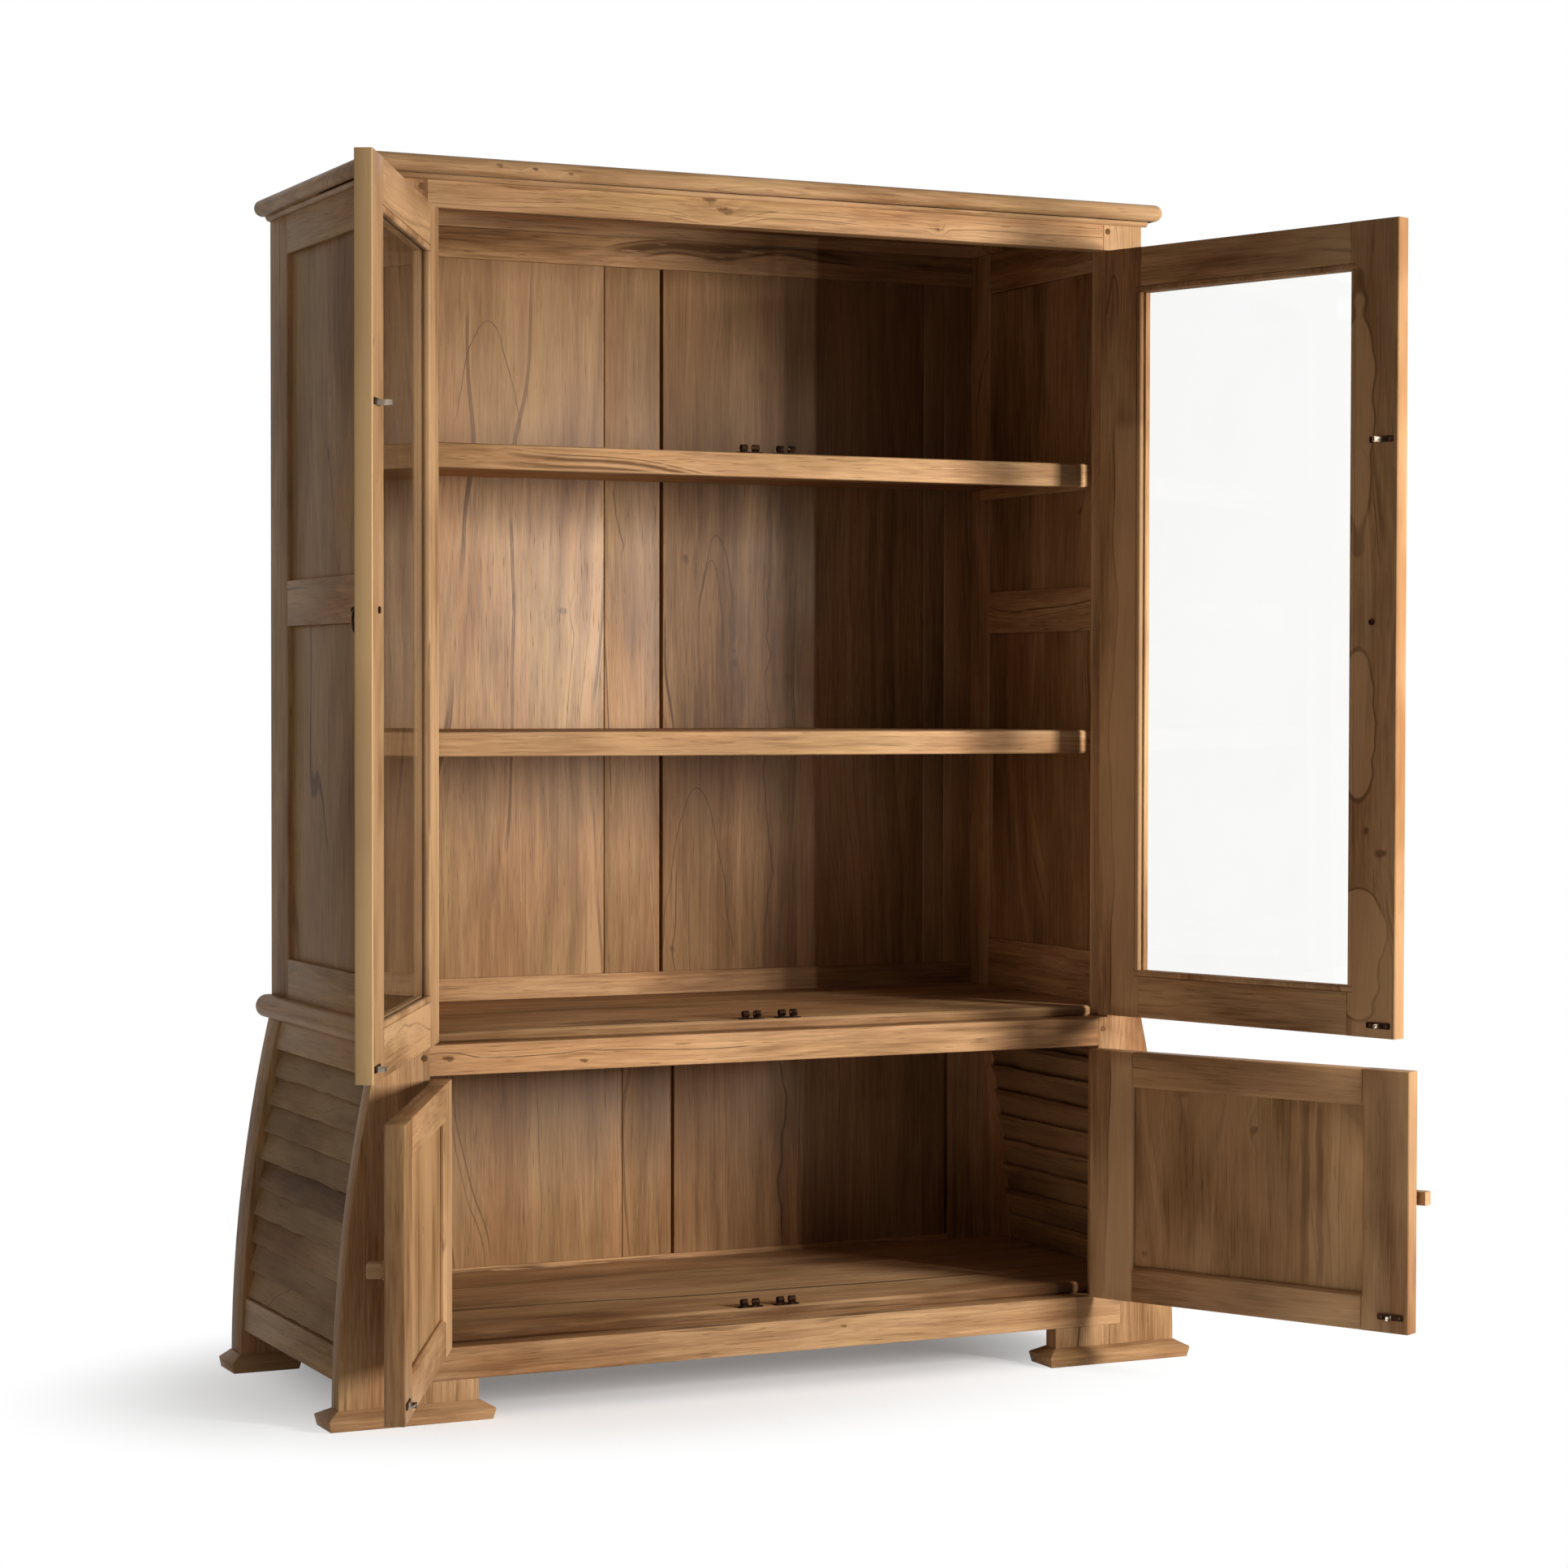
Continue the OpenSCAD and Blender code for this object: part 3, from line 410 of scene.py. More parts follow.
class Timber(Finish):
    """A wooden finish that knows where a point lies in its board."""

    def __init__(self, name, grain, door, cuts, steps):
        super().__init__(name)
        self.place = self.square_place(door)
        self.axes = self.separate(self.place)
        self.length, self.side, self.depth = [self.axes[i] for i in GRAIN_ORDER[grain]]
        self.seed = self.board_seed(cuts, steps)
        self.run = self.length + self.seed
        self.across = self.side + self.seed * SIDE_SHARE

    def square_place(self, door):
        """The point's place, turned to where the door's boards stand when it is shut."""
        if door is None:
            return self.spot()
        back = door.swing.inverted()
        return self.node("ShaderNodeMapping", {"vector_type": "POINT"},
                         {0: self.spot(), 1: back.to_translation(), 2: back.to_euler()})

    def board_seed(self, cuts, steps):
        """A number that jumps at each cut between two boards, or at even steps of height."""
        seed = 0.0
        for i, (axis, at) in enumerate(cuts):
            seed = (self.axes["XYZ".index(axis)] > at) * (FIRST_JUMP + NEXT_JUMP * i) + seed
        if steps:
            low, pitch = steps
            level = (self.axes[2] - (low - pitch * 0.02)) * (1 / pitch)
            seed = level.math("FLOOR") * STEP_JUMP + seed
        return seed

    def fibres(self, along, aside, detail=2.0, roughness=0.5):
        """Noise stretched along the board: how fine it is along the grain and across it."""
        point = self.combine(self.run * along, self.across * aside, self.depth * aside)
        return self.noise(point, 1.0, detail, roughness)


print("grain runs along", list(GRAIN_ORDER))

# %% [markdown]
# ## Knots, dark lines and flames
# Some marks catch the eye so much that they can't be left to chance. A knot is a dark core in a
# swirl that bends the rings round it. A dark line is a vein that wanders along the board. On the
# floors' front edges the same kind of line is painted shade. A flame is the pointed arch where the
# saw ran out of a year ring. Each is measured from the point's place in its board, so it needs no
# image and stays with the board from every side.

# %% Marks of the wood
def knot_field(timber, knots):
    """How much a point belongs to a knot's swirl and to its dark core."""
    swirl, core = 0.0, 0.0
    for centre, size, squeeze in knots:
        away = timber.vector("MULTIPLY", timber.vector("SUBTRACT", timber.place, centre), squeeze)
        far = timber.vector("LENGTH", away, output=1)
        ragged = timber.noise(away, 0.7 / size, 3.0, 0.6) - 0.5
        swirl = timber.smooth(far, 0.0, size * 4.5, 1.0, 0.0) + swirl
        core = timber.smooth(far + ragged * (size * 2.2), size * 0.2, size, 1.0, 0.0) + core
    return swirl, core


def dark_lines(timber, lines):
    """Thin dark lines that wander along a board between two places."""
    marks = 0.0
    for at, sway, start, end, width in lines:
        wobble = (timber.stripes(timber.length * 7 + at * 40) - 0.5) * sway
        mark = timber.smooth(abs(timber.side - at - wobble), width * 0.4, width, 1.0, 0.0)
        marks = mark * timber.between(timber.length, start, end, 0.04) + marks
    return marks


def flame_lines(timber, flames):
    """Pointed arches, where a saw cut runs out of a year ring."""
    marks = 0.0
    for at, top, steepness, bottom, width in flames:
        wobble = (timber.stripes(timber.length * 9 + top * 30) - 0.5) * 0.012
        aside = timber.side - at + wobble
        fall = timber.length - top + aside * aside * steepness
        slope = (1 + (aside * (2 * steepness)) ** 2) ** 0.5
        mark = timber.smooth(abs(fall / slope), width * 0.4, width, 1.0, 0.0)
        marks = mark * timber.smooth(timber.length, bottom, bottom + 0.05) + marks
    return marks


def knots_at(face, *spots):
    """Knots on a face at one depth: where across and up, how big, and how squeezed each way."""
    return [((x, face, z), size, (narrow, 1, flat)) for x, z, size, narrow, flat in spots]


print("a knot is stored as", knots_at(0.0, (0.1, 1.9, 0.01, 1, 1))[0])

# %% [markdown]
# ## Sapwood
# The outer wood of a tree is paler than its heart, and a thrifty joiner leaves some of it on the
# inner faces. Its border is wavy with a thin dark line. It either runs along a board, with the
# pale wood on one side, or closes into a long lobe.

# %% Sapwood
SAP_REACH = 0.15


def sapwood(timber, edges, lobes):
    """The pale wood beyond a wavy border or in a lobe, and the dark line of its border."""
    length, side = timber.length, timber.side
    pale, border = 0.0, 0.0
    for at, middle, half_width, half_length in lobes:
        wave = (timber.stripes(length * 13 + at * 60, 1.5) - 0.5) * 0.55
        aside, along = (side - at) * (1 / half_width), (length - middle) * (1 / half_length)
        inside = (1 - (aside * aside + along * along) ** 0.5 - wave) * half_width
        pale = timber.smooth(inside, 0.0, 0.0015) + pale
        border = timber.smooth(abs(inside), 0.0008, 0.0026, 1.0, 0.0) + border
    for at, sway, way, start, end in edges:
        beyond = side - at - (timber.stripes(length * 3.1 + at * 60, 1.0) - 0.5) * sway
        reach = timber.between(length, start, end, 0.03) * (abs(side - at) < SAP_REACH)
        pale = timber.smooth(beyond * way, 0.0, 0.0012) * reach + pale
        border = timber.smooth(abs(beyond), 0.0006, 0.0022, 1.0, 0.0) * reach + border
    pale = pale.math("MINIMUM", 1.0)
    if lobes:
        inner_face = timber.smooth(timber.depth, 0.010, 0.018)
        pale, border = pale * inner_face, border * inner_face
    return pale, border


print("sapwood reaches", SAP_REACH, "m from its border")

# %% [markdown]
# ## The cut through the year rings
# Close to the rings' middle a lengthwise cut shows tall flames, and away from it plain lines. The
# shader does the same: it measures how far a point lies from the tree's heart, which wanders a
# little along the board, and turns that distance into uneven bands. A Wave texture would be
# quicker, but its bands are all alike. Stretched noise adds streaks, fibres, pores and soft
# clouds.

# %% Rings and fibres
HONEY = (rgb(206, 166, 124), rgb(176, 137, 99), rgb(145, 108, 75), rgb(96, 67, 43))
RUSSET = (rgb(190, 150, 108), rgb(160, 122, 84), rgb(130, 95, 62), rgb(86, 59, 37))
DRIFT = (rgb(184, 150, 114), rgb(156, 124, 90), rgb(128, 98, 70), rgb(92, 66, 46))
PEG = (rgb(128, 92, 60), rgb(104, 70, 44), rgb(80, 52, 32), rgb(54, 34, 20))
TINTS = [(0.0, (1.0, 0.95, 0.90, 1)), (0.5, WHITE), (1.0, (0.95, 0.98, 1.0, 1))]
WANDER, BEND, ROUND_KNOTS = 0.17, 0.014, 0.008
YEAR_RINGS, FINE_RINGS = 38, 210
PATCHES = [(0.36, (1.0, 0.93, 0.88, 1)), (0.50, WHITE), (0.66, (0.97, 1.0, 0.92, 1))]


class Figure:
    """The parts of a board's pattern."""

    def __init__(self, timber, heart, swirl):
        off = timber.combine(0.0, timber.side - heart[0], timber.depth - heart[1])
        growth = timber.vector("LENGTH", off, output=1) + (timber.fibres(0.8, 3) - 0.5) * WANDER
        growth = growth + (timber.fibres(3.5, 16, 1.0) - 0.5) * BEND + swirl * ROUND_KNOTS
        self.wide = timber.stripes(growth * YEAR_RINGS + timber.seed * 5.3)
        self.fine = timber.stripes(growth * FINE_RINGS + timber.seed * 2.1)
        self.streak = timber.fibres(6.5, 120, 4.0, 0.62)
        self.fibre = timber.fibres(13, 360, 3.0)
        self.cloud = timber.fibres(2.4, 7, 3.0)
        self.pores = timber.smooth(timber.fibres(20, 400, 1.0), 0.63, 0.73)

    def colour(self, timber, tones, contrast, varied):
        """The colour before any marks, then patches and each board's own tint."""
        light, warm, brown, dark = tones
        tone = 0.55 + (timber.chance(timber.seed + 0.5) - 0.5) * (0.12 * varied)
        for part, weight in ((self.wide, 0.55), (self.fine, 0.16), (self.streak, 0.52),
                             (self.fibre, 0.50), (self.cloud, 1.05)):
            tone = tone + (part - 0.5) * (weight * contrast)
        colour = timber.ramp(tone, [(0.10, dark), (0.36, brown), (0.58, warm), (0.84, light)])
        patch = timber.ramp(timber.fibres(2.3, 9), PATCHES)
        tint = timber.ramp(timber.chance(timber.seed + 7.5), TINTS)
        colour = timber.mix(colour, patch, 1.0, "MULTIPLY")
        return timber.mix(colour, tint, min(1.0, 0.5 * varied), "MULTIPLY")


print("tones in a set:", len(HONEY))

# %% [markdown]
# ## Oiled wood
# A wooden surface is built up in coats: first the cut, then the marks that the tree left, then the
# wear of hands on the edges, whose lighter colour also paints a highlight on every arris. Some
# coats are painted light and shade: bands of shade between given heights, and a lighter or darker
# tone on the doors' closing edges. Each coat is a colour with a mask, and a loop lays one over the
# other. Only the pores and fibres are deep enough to feel, so only they feed the bump.

# %% Oiled wood
VEIN_AND_EDGE_SHADE, KNOT = rgb(74, 46, 26), rgb(84, 54, 34)
ROUGH, BUMP_SHARE, BUMP_DEPTH = 0.46, 0.18, 0.0005


def wood(name, grain, door=None, cuts=(), steps=None, heart=(0.9, 0.6), tones=HONEY, contrast=1.0,
         varied=1.0, dull=0.0, gloss=0.04, knots=(), lines=(), flames=(), saps=(), lobes=(),
         painted_shade_bands=(), edge_light_and_shade=None):
    """Planed and oiled wood. heart is where the tree's middle lies across the grain."""
    timber = Timber(name, grain, door, cuts, steps)
    smooth = timber.smooth
    light, _, brown, dark = tones
    swirl, core = knot_field(timber, knots)
    figure = Figure(timber, heart, swirl)
    streak, fibre, cloud, pores = figure.streak, figure.fibre, figure.cloud, figure.pores
    contour = smooth(abs(figure.wide - 0.60), 0.0, 0.018, 1.0, 0.0) * smooth(cloud, 0.46, 0.56)
    flecks = smooth(timber.fibres(17, 300), 0.60, 0.72) * smooth(cloud, 0.4, 0.6)
    coats = [(dark, contour * 0.9), (dark, pores * 0.50), (light, flecks * 0.6)]
    if saps or lobes:
        pale, border = sapwood(timber, saps, lobes)
        coats += [(brown, (1 - pale) * 0.15), (light, pale * 0.60), (dark, border * 0.65)]
    # Painted shade: brown bands that darken a board between two heights.
    for low, high, amount in painted_shade_bands:
        coats.append((brown, timber.between(timber.axes[2], low, high, 0.04) * amount))
    # Veins and flames. On the floors' front edges the same dark line is painted shade.
    if lines or flames:
        marks = dark_lines(timber, lines) + flame_lines(timber, flames)
        coats.append((VEIN_AND_EDGE_SHADE, marks * smooth(streak, 0.3, 0.6, 0.5, 1.0) * 0.8))
    if knots:
        smudge = smooth(core, 0.1, 0.9) * smooth(streak + fibre, 0.75, 1.15, 0.45, 1.0)
        coats.append((KNOT, smudge * 0.85))
    # Painted light and shade on a door's closing edge: lighter on the upper left door, darker on
    # the right doors.
    if edge_light_and_shade:
        painted_edge_tone, amount = edge_light_and_shade
        coats.append((painted_edge_tone, smooth(abs(timber.side), 0.0025, 0.005, amount, 0.0)))
    # Wear on the rounded edges, whose lighter colour is also a painted highlight.
    worn_and_highlight = smooth(timber.arris(), 0.12, 0.45) * smooth(cloud, 0.35, 0.6)
    coats.append((light, worn_and_highlight * 0.5))
    colour = figure.colour(timber, tones, contrast, varied)
    for tone, share in coats:
        colour = timber.mix(colour, tone, share)
    rough = ROUGH + dull + (fibre - 0.5) * 0.2 + pores * 0.12 - worn_and_highlight * 0.06
    height = fibre * 0.6 + figure.fine * 0.4 - pores * 0.7
    timber.set(Base_Color=colour, Roughness=rough, Specular_IOR_Level=gloss,
               Normal=timber.bump(height, BUMP_SHARE, BUMP_DEPTH))
    return timber.material


def dress(material, *nodes):
    """Gives frame nodes their finish, in all their material slots."""
    for name in nodes:
        held = frame["nodes"][name].data.materials
        if not held:
            held.append(material)
        for i in range(len(held)):
            held[i] = material


print("veins and knots:", [round(v, 3) for v in VEIN_AND_EDGE_SHADE[:3] + KNOT[:3]])

# %% [markdown]
# ## Wood of the case's front
# A joiner picks boards for their place: long plain ones for posts and rails, wide ones with figure
# for the back. One material for all would repeat itself at every corner, so each kind of board
# gets its own, with the grain along it. The cuts say where one board ends, and the pattern jumps
# there.

# %% Wood of the case's front
rail_knots = knots_at(0.0, (-0.128, 1.951, 0.017, 0.9, 0.9), (-0.098, 1.932, 0.010, 0.5, 1),
                      (0.29, 1.925, 0.004, 0.7, 1), (-0.575, 0.572, 0.008, 0.6, 1),
                      (-0.345, 0.560, 0.006, 0.6, 1), (0.12, 0.098, 0.005, 0.6, 1))
cap_knots = knots_at(-0.031, (-0.50, 1.976, 0.006, 0.8, 1), (-0.44, 1.974, 0.005, 0.8, 1),
                     (-0.38, 1.970, 0.005, 0.8, 1))
# A dark line of painted shade over each floor's front face.
floor_edge_shade = [(0.0342, 0.0, -0.72, 0.72, 0.006)]
dress(wood("cap_wood", "X", heart=(0.3, 2.4), knots=cap_knots), "top_cap", "cap_bead")
dress(wood("rail_wood", "X", cuts=(("Z", 1.0), ("Z", 0.3)), heart=(0.25, 1.75), knots=rail_knots),
      "fascia_rail", "mid_rail", "bottom_rail", "back_rails")
dress(wood("shelf_wood", "X", cuts=(("Z", 1.3),), heart=(-0.2, 1.6)), "shelf_upper", "shelf_lower")
dress(wood("floor_wood", "X", cuts=(("Z", 0.4),), heart=(-0.3, 1.7), lines=floor_edge_shade),
      "upper_floor", "base_floor")
dress(wood("post_wood", "Z", cuts=(("X", 0.0), ("Y", 0.3), ("Z", 0.6)), heart=(0.2, 0.7)),
      "upper_front_posts", "upper_side_stiles", "base_front_posts", "base_back_posts",
      "foot_blocks", "back_cover_strips")
print("woods so far:", len(bpy.data.materials))

# %% [markdown]
# ## Wood of the sides and back
# The back boards are the widest and the most seen, so their knots, veins and flames are placed one
# by one. Bands of painted shade darken them between given heights: most in the upper bay, less
# lower down. They also have a harder shine than the rest, because nobody sanded them once they
# were in.

# %% Wood of the sides and back
back_knots = knots_at(0.565, (0.077, 1.389, 0.010, 1.3, 0.6), (-0.160, 1.294, 0.012, 1, 1),
                      (0.172, 1.226, 0.006, 1, 0.8), (0.175, 1.204, 0.008, 1, 0.6),
                      (0.052, 0.69, 0.007, 1, 0.6), (-0.45, 1.74, 0.007, 1, 0.7))
back_lines = [(-0.055, 0.05, 1.38, 1.54, 0.0018), (0.163, 0.03, 1.09, 1.18, 0.0016),
              (-0.42, 0.03, 1.10, 1.50, 0.0014), (0.24, 0.04, 0.7, 1.4, 0.0014),
              (0.27, 0.03, 0.13, 0.50, 0.0030), (-0.50, 0.02, 0.62, 1.05, 0.0014)]
back_flames = [(0.137, 1.435, 114, 1.28, 0.0015), (0.128, 1.39, 190, 1.26, 0.0012),
               (0.10, 0.98, 60, 0.66, 0.0012), (-0.30, 1.80, 50, 1.60, 0.0012)]
# Painted shade on the back boards between these heights.
back_painted_shade = ((1.50, 1.95, 0.42), (0.60, 1.10, 0.20), (0.10, 0.60, 0.30))
back_cuts = (("X", -0.08), ("X", 0.03), ("X", 0.3), ("X", 0.557), ("X", 0.6), ("Z", 0.59))
dress(wood("side_rail_wood", "Y", cuts=(("X", 0.0), ("Z", 0.9), ("Z", 1.6)), heart=(0.3, 1.1)),
      "upper_side_rails", "base_side_rails", "shelf_cleats", "waist_mouldings")
dress(wood("side_panel_wood", "Z", tones=RUSSET, cuts=(("X", 0.0), ("Z", 1.3), ("Y", 0.3)),
           heart=(0.9, 0.25)), "upper_side_panels")
dress(wood("back_board_wood", "Z", tones=RUSSET, heart=(-0.3, 0.75), cuts=back_cuts, gloss=0.30,
           knots=back_knots, lines=back_lines, flames=back_flames, painted_shade_bands=back_painted_shade),
      "upper_back_boards", "base_back_boards")
print("woods so far:", len(bpy.data.materials))

# %% [markdown]
# ## Wood of the slats, feet and pegs
# The slats are short offcuts that have seen more weather, so every one has its own tint: some
# grey, some red, some straw. Their pattern jumps at each slat, which the shader counts by height.
# The pegs show their dark end grain.

# %% Wood of the slats, feet and pegs
SLATS = 9
slat_low, slat_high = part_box("base_slats_left")
slat_pitch = (slat_high[2] - slat_low[2]) / SLATS
dress(wood("slat_wood", "Y", heart=(0.5, -0.4), tones=DRIFT, steps=(slat_low[2], slat_pitch),
           cuts=(("X", 0.0),), varied=2.0, contrast=0.9, dull=0.12),
      "base_slats_left", "base_slats_right")
dress(wood("foot_wood", "X", cuts=(("X", 0.0), ("Y", 0.3)), heart=(0.4, 0.9)), "foot_mouldings")
dress(wood("peg_wood", "Y", heart=(0.01, 0.01), tones=PEG), "joint_pegs")
print("one slat every", round(slat_pitch / MM, 1), "mm")

# %% [markdown]
# ## Wood of the doors
# The doors are open, so their boards stand askew, and their marks are laid out as if each door
# were shut. Each door's table holds only what is special about it: the right upper door has three
# lobes of sapwood, and the panel of the right lower one has two wavy dark stripes, where the saw
# met the edge of the heartwood. The closing edges get painted light and shade: a lighter tone on
# the upper left door's and a darker one on the right doors'.

# %% Marks of the doors
stile_marks = {
    "ul": {"knots": knots_at(0.013, (-0.055, 0.98, 0.012, 1.2, 0.3), (-0.05, 1.52, 0.010, 1, 0.4)),
           "saps": [(-0.600, 0.010, -1, 0.60, 1.30)], "edge_light_and_shade": (rgb(246, 206, 150), 0.90)},
    "ur": {"knots": knots_at(0.026, (0.060, 0.93, 0.008, 1, 0.6), (0.030, 0.895, 0.010, 0.6, 0.8))
           + knots_at(0.010, (0.001, 0.81, 0.010, 1, 0.5)),
           "flames": [(0.595, 1.86, 400, 1.76, 0.0020)], "saps": [(0.588, 0.044, -1, 0.60, 1.62)],
           "lobes": [(0.072, 0.745, 0.050, 0.105), (0.076, 1.10, 0.034, 0.125),
                     (0.078, 1.60, 0.030, 0.20)],
           "edge_light_and_shade": (rgb(142, 96, 56), 0.78)},
    "ll": {},
    "lr": {"saps": [(0.570, 0.030, -1, 0.12, 0.54)], "edge_light_and_shade": (rgb(142, 96, 58), 0.62)}}
rail_flames = {"ur": [(1.868, 0.43, 160, 0.20, 0.0022), (1.868, 0.36, 160, 0.16, 0.0016),
                      (0.640, 0.30, 200, 0.12, 0.0018)],
               "lr": [(0.505, 0.30, 200, 0.14, 0.0016)]}
panel_marks = {
    "ll": {"knots": knots_at(0.02, (-0.30, 0.35, 0.008, 1, 0.7)),
           "lines": [(-0.21, 0.02, 0.17, 0.50, 0.0040)]},
    "lr": {"knots": knots_at(0.02, (0.29, 0.425, 0.010, 1, 0.7), (0.43, 0.475, 0.014, 0.7, 1.2),
                             (0.50, 0.20, 0.008, 1, 0.8)),
           "lines": [(0.194, 0.018, 0.17, 0.50, 0.0105), (0.167, 0.016, 0.17, 0.50, 0.0085),
                     (0.43, 0.03, 0.38, 0.50, 0.0035)]}}
print("marked stiles:", [key for key, marks in stile_marks.items() if marks])

# %% [markdown]
# ## Wood laid out door by door
# Stiles stand upright and rails lie level, so they can't share a material. Each door has a
# material for each, because the Mapping node inside it turns by that door's own angle. The cuts
# part the two stiles at the door's middle, and the two rails at its middle height.

# %% Wood of the doors
RAIL_CUT = {"u": 1.2, "l": 0.33}
for key, door in doors.items():
    upright = wood(key + "_stile_wood", "Z", door, cuts=(("X", door.side * 0.3),),
                   heart=(0.1, 0.8), **stile_marks[key])
    level = wood(key + "_rail_wood", "X", door, cuts=(("Z", RAIL_CUT[key[0]]),),
                 heart=(1.9, 0.3), flames=rail_flames.get(key, ()))
    dress(upright, key + "_stiles")
    dress(level, key + "_rails")
    if key[0] == "u":
        dress(upright, key + "_beads")
    else:
        dress(wood(key + "_panel_wood", "Z", door, heart=(door.side * 0.32, 0.12), tones=RUSSET,
                   **panel_marks[key]), key + "_panel")
print("woods in all:", len(bpy.data.materials))

# %% [markdown]
# ## Window glass
# A window pane is two things at once: most light goes straight through, and a little is mirrored,
# more so at a low angle. A full glass shader bends light as well, which a flat thin pane hardly
# does, so a mix of Transparent and Glossy is clearer and quicker. A breath of dust keeps it from
# looking absent.

# %% Glass
pane = Finish("window_glass")
sheer = pane.node("ShaderNodeBsdfTransparent", {}, {0: (0.985, 0.99, 0.985, 1)})
mirror = pane.node("ShaderNodeBsdfGlossy", {}, {"Color": WHITE, "Roughness": 0.02})
shine = pane.node("ShaderNodeFresnel", {}, {"IOR": 1.45})
dust = pane.smooth(pane.noise(pane.spot(), 5.0, 3.0), 0.5, 0.8)
pane.show(pane.mix_shader(shine * 0.28 + dust * 0.01, sheer, mirror))
for key in ("ul", "ur"):
    dress(pane.material, key + "_glass")
print("glass nodes:", len(pane.tree.nodes))

# %% [markdown]
# ## Metal
# The fittings are cast metal, browned on purpose and rubbed bright at their edges. Paint on metal
# would be a plain colour, but this is the metal's own skin, so it stays fully metallic, and noise
# moves its colour and roughness. The arris mask finds the rounded edges.

# %% Metals
def metal(name, colour, worn_colour, rough):
    finish = Finish(name)
    patch = finish.noise(finish.spot(), 90.0, 4.0, 0.6)
    rubbed = finish.smooth(patch + finish.arris() * 0.35, 0.5, 0.85)
    finish.set(Base_Color=finish.mix(colour, worn_colour, rubbed), Metallic=1.0,
               Roughness=finish.smooth(patch, 0.3, 0.7, rough, rough + 0.2),
               Normal=finish.bump(patch, 0.15, 0.0003))
    return finish.material


iron = metal("dark_bronze", rgb(17, 10, 7), rgb(64, 42, 30), 0.5)
brass = metal("aged_brass", rgb(150, 116, 66), rgb(104, 76, 42), 0.36)
steel = metal("screw_steel", rgb(46, 36, 30), rgb(96, 80, 66), 0.40)
polished = metal("polished_steel", rgb(120, 106, 92), rgb(164, 150, 134), 0.30)
dress(iron, "catch_cases", "ul_strikes", "ur_strikes", "ll_strike", "lr_strike",
      "ul_ring_plate", "ur_ring_plate", "ul_ring", "ur_ring")
dress(brass, "catch_balls", "hinge_jamb_leaves", "hinge_pins",
      "ul_hinges", "ur_hinges", "ll_hinges", "lr_hinges")
print("finishes:", len(bpy.data.materials))

# %% [markdown]
# ## Working in edit mode from a script
# Blender's operators act on whatever is selected, so a script has to say each time what that is.
# The first helper selects one object alone. The second runs a few edit-mode steps on it and always
# comes back to object mode, where its mesh can be read again.

# %% Edit mode
def pick(piece):
    """Selects one object alone and makes it the active one."""
    bpy.ops.object.select_all(action="DESELECT")
    piece.select_set(True)
    bpy.context.view_layer.objects.active = piece


def edit(piece, *steps):
    """Runs edit-mode operators one after the other on one object: each step is a function."""
    pick(piece)
    bpy.ops.object.mode_set(mode="EDIT")
    for step in steps:
        step()
    bpy.ops.object.mode_set(mode="OBJECT")


print("mode:", bpy.context.mode)

# %% [markdown]
# ## Boards with eased edges
# A joiner takes every sharp edge off with a few strokes of a plane and some sandpaper. Light
# catches on that narrow round, and without it wood looks cut from paper. The frame's boards are
# loose triangles, so each copy is merged and its flats are joined to whole faces first. Then a
# Bevel modifier rounds only the edges that turn by more than a set angle, which leaves curved
# mouldings alone.

# %% Easing
MERGE = 0.15 * MM


def whole_flats():
    """Merges loose triangles and joins those that lie flat together."""
    bpy.ops.mesh.select_all(action="SELECT")
    bpy.ops.mesh.remove_doubles(threshold=MERGE)
    bpy.ops.mesh.dissolve_limited(angle_limit=math.radians(0.5))


def round_edges(piece, width, segments=2, turn=30, smooth=40):
    """Bevels the edges that turn by more than the given degrees, and shades the rest smooth."""
    rounding = piece.modifiers.new("rounding", "BEVEL")
    rounding.width = width
    rounding.segments = segments
    rounding.limit_method = "ANGLE"
    rounding.angle_limit = math.radians(turn)
    pick(piece)
    bpy.ops.object.modifier_apply(modifier="rounding")
    bpy.ops.object.shade_smooth_by_angle(angle=math.radians(smooth))


def body_of(node):
    return frame["nodes"][node]["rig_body"]


def eased(node, width, segments=2):
    """A copy of a frame node with softer edges, which is shown in its place."""
    piece = bpy.data.objects.new(node + "_eased", frame["nodes"][node].data.copy())
    bpy.context.collection.objects.link(piece)
    edit(piece, whole_flats)
    round_edges(piece, width * MM, segments)
    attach(piece, body_of(node))
    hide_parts(node)
    return piece


print("merging points closer than", MERGE / MM, "mm")

# %% [markdown]
# ## Which board gets which edge
# Edges that hands reach, such as a shelf's or a rail's, are rounded most, and hidden boards least.
# The widths are in millimetres. The table is sorted by the finish that the frame's record names.

# %% Eased boards
boards = {"front_wood": {"fascia_rail": 1.2, "mid_rail": 1.4, "bottom_rail": 1.4,
                         "shelf_upper": 1.8, "shelf_lower": 1.8, "upper_front_posts": 1.2,
                         "base_front_posts": 1.4, "top_cap": 0.8, "cap_bead": 0.6,
                         "foot_blocks": 1.2, "foot_mouldings": 1.4, "waist_mouldings": 1.2},
          "case_wood": {"upper_side_stiles": 1.0, "upper_side_rails": 1.0, "shelf_cleats": 1.0,
                        "upper_floor": 1.0, "base_floor": 1.0, "base_back_posts": 1.2,
                        "base_side_rails": 1.2, "back_rails": 1.0, "back_cover_strips": 1.0},
          "panel_wood": {"upper_side_panels": 0.8, "upper_back_boards": 1.0,
                         "base_back_boards": 1.0},
          "peg_wood": {"joint_pegs": 0.4}}
for slot, nodes in boards.items():
    for node, width in nodes.items():
        eased(node, width)
for key in doors:
    eased(key + "_stiles", 0.9)
    eased(key + "_rails", 0.7)
    if key[0] == "u":
        eased(key + "_beads", 0.8)
    else:
        eased(key + "_panel", 0.8)

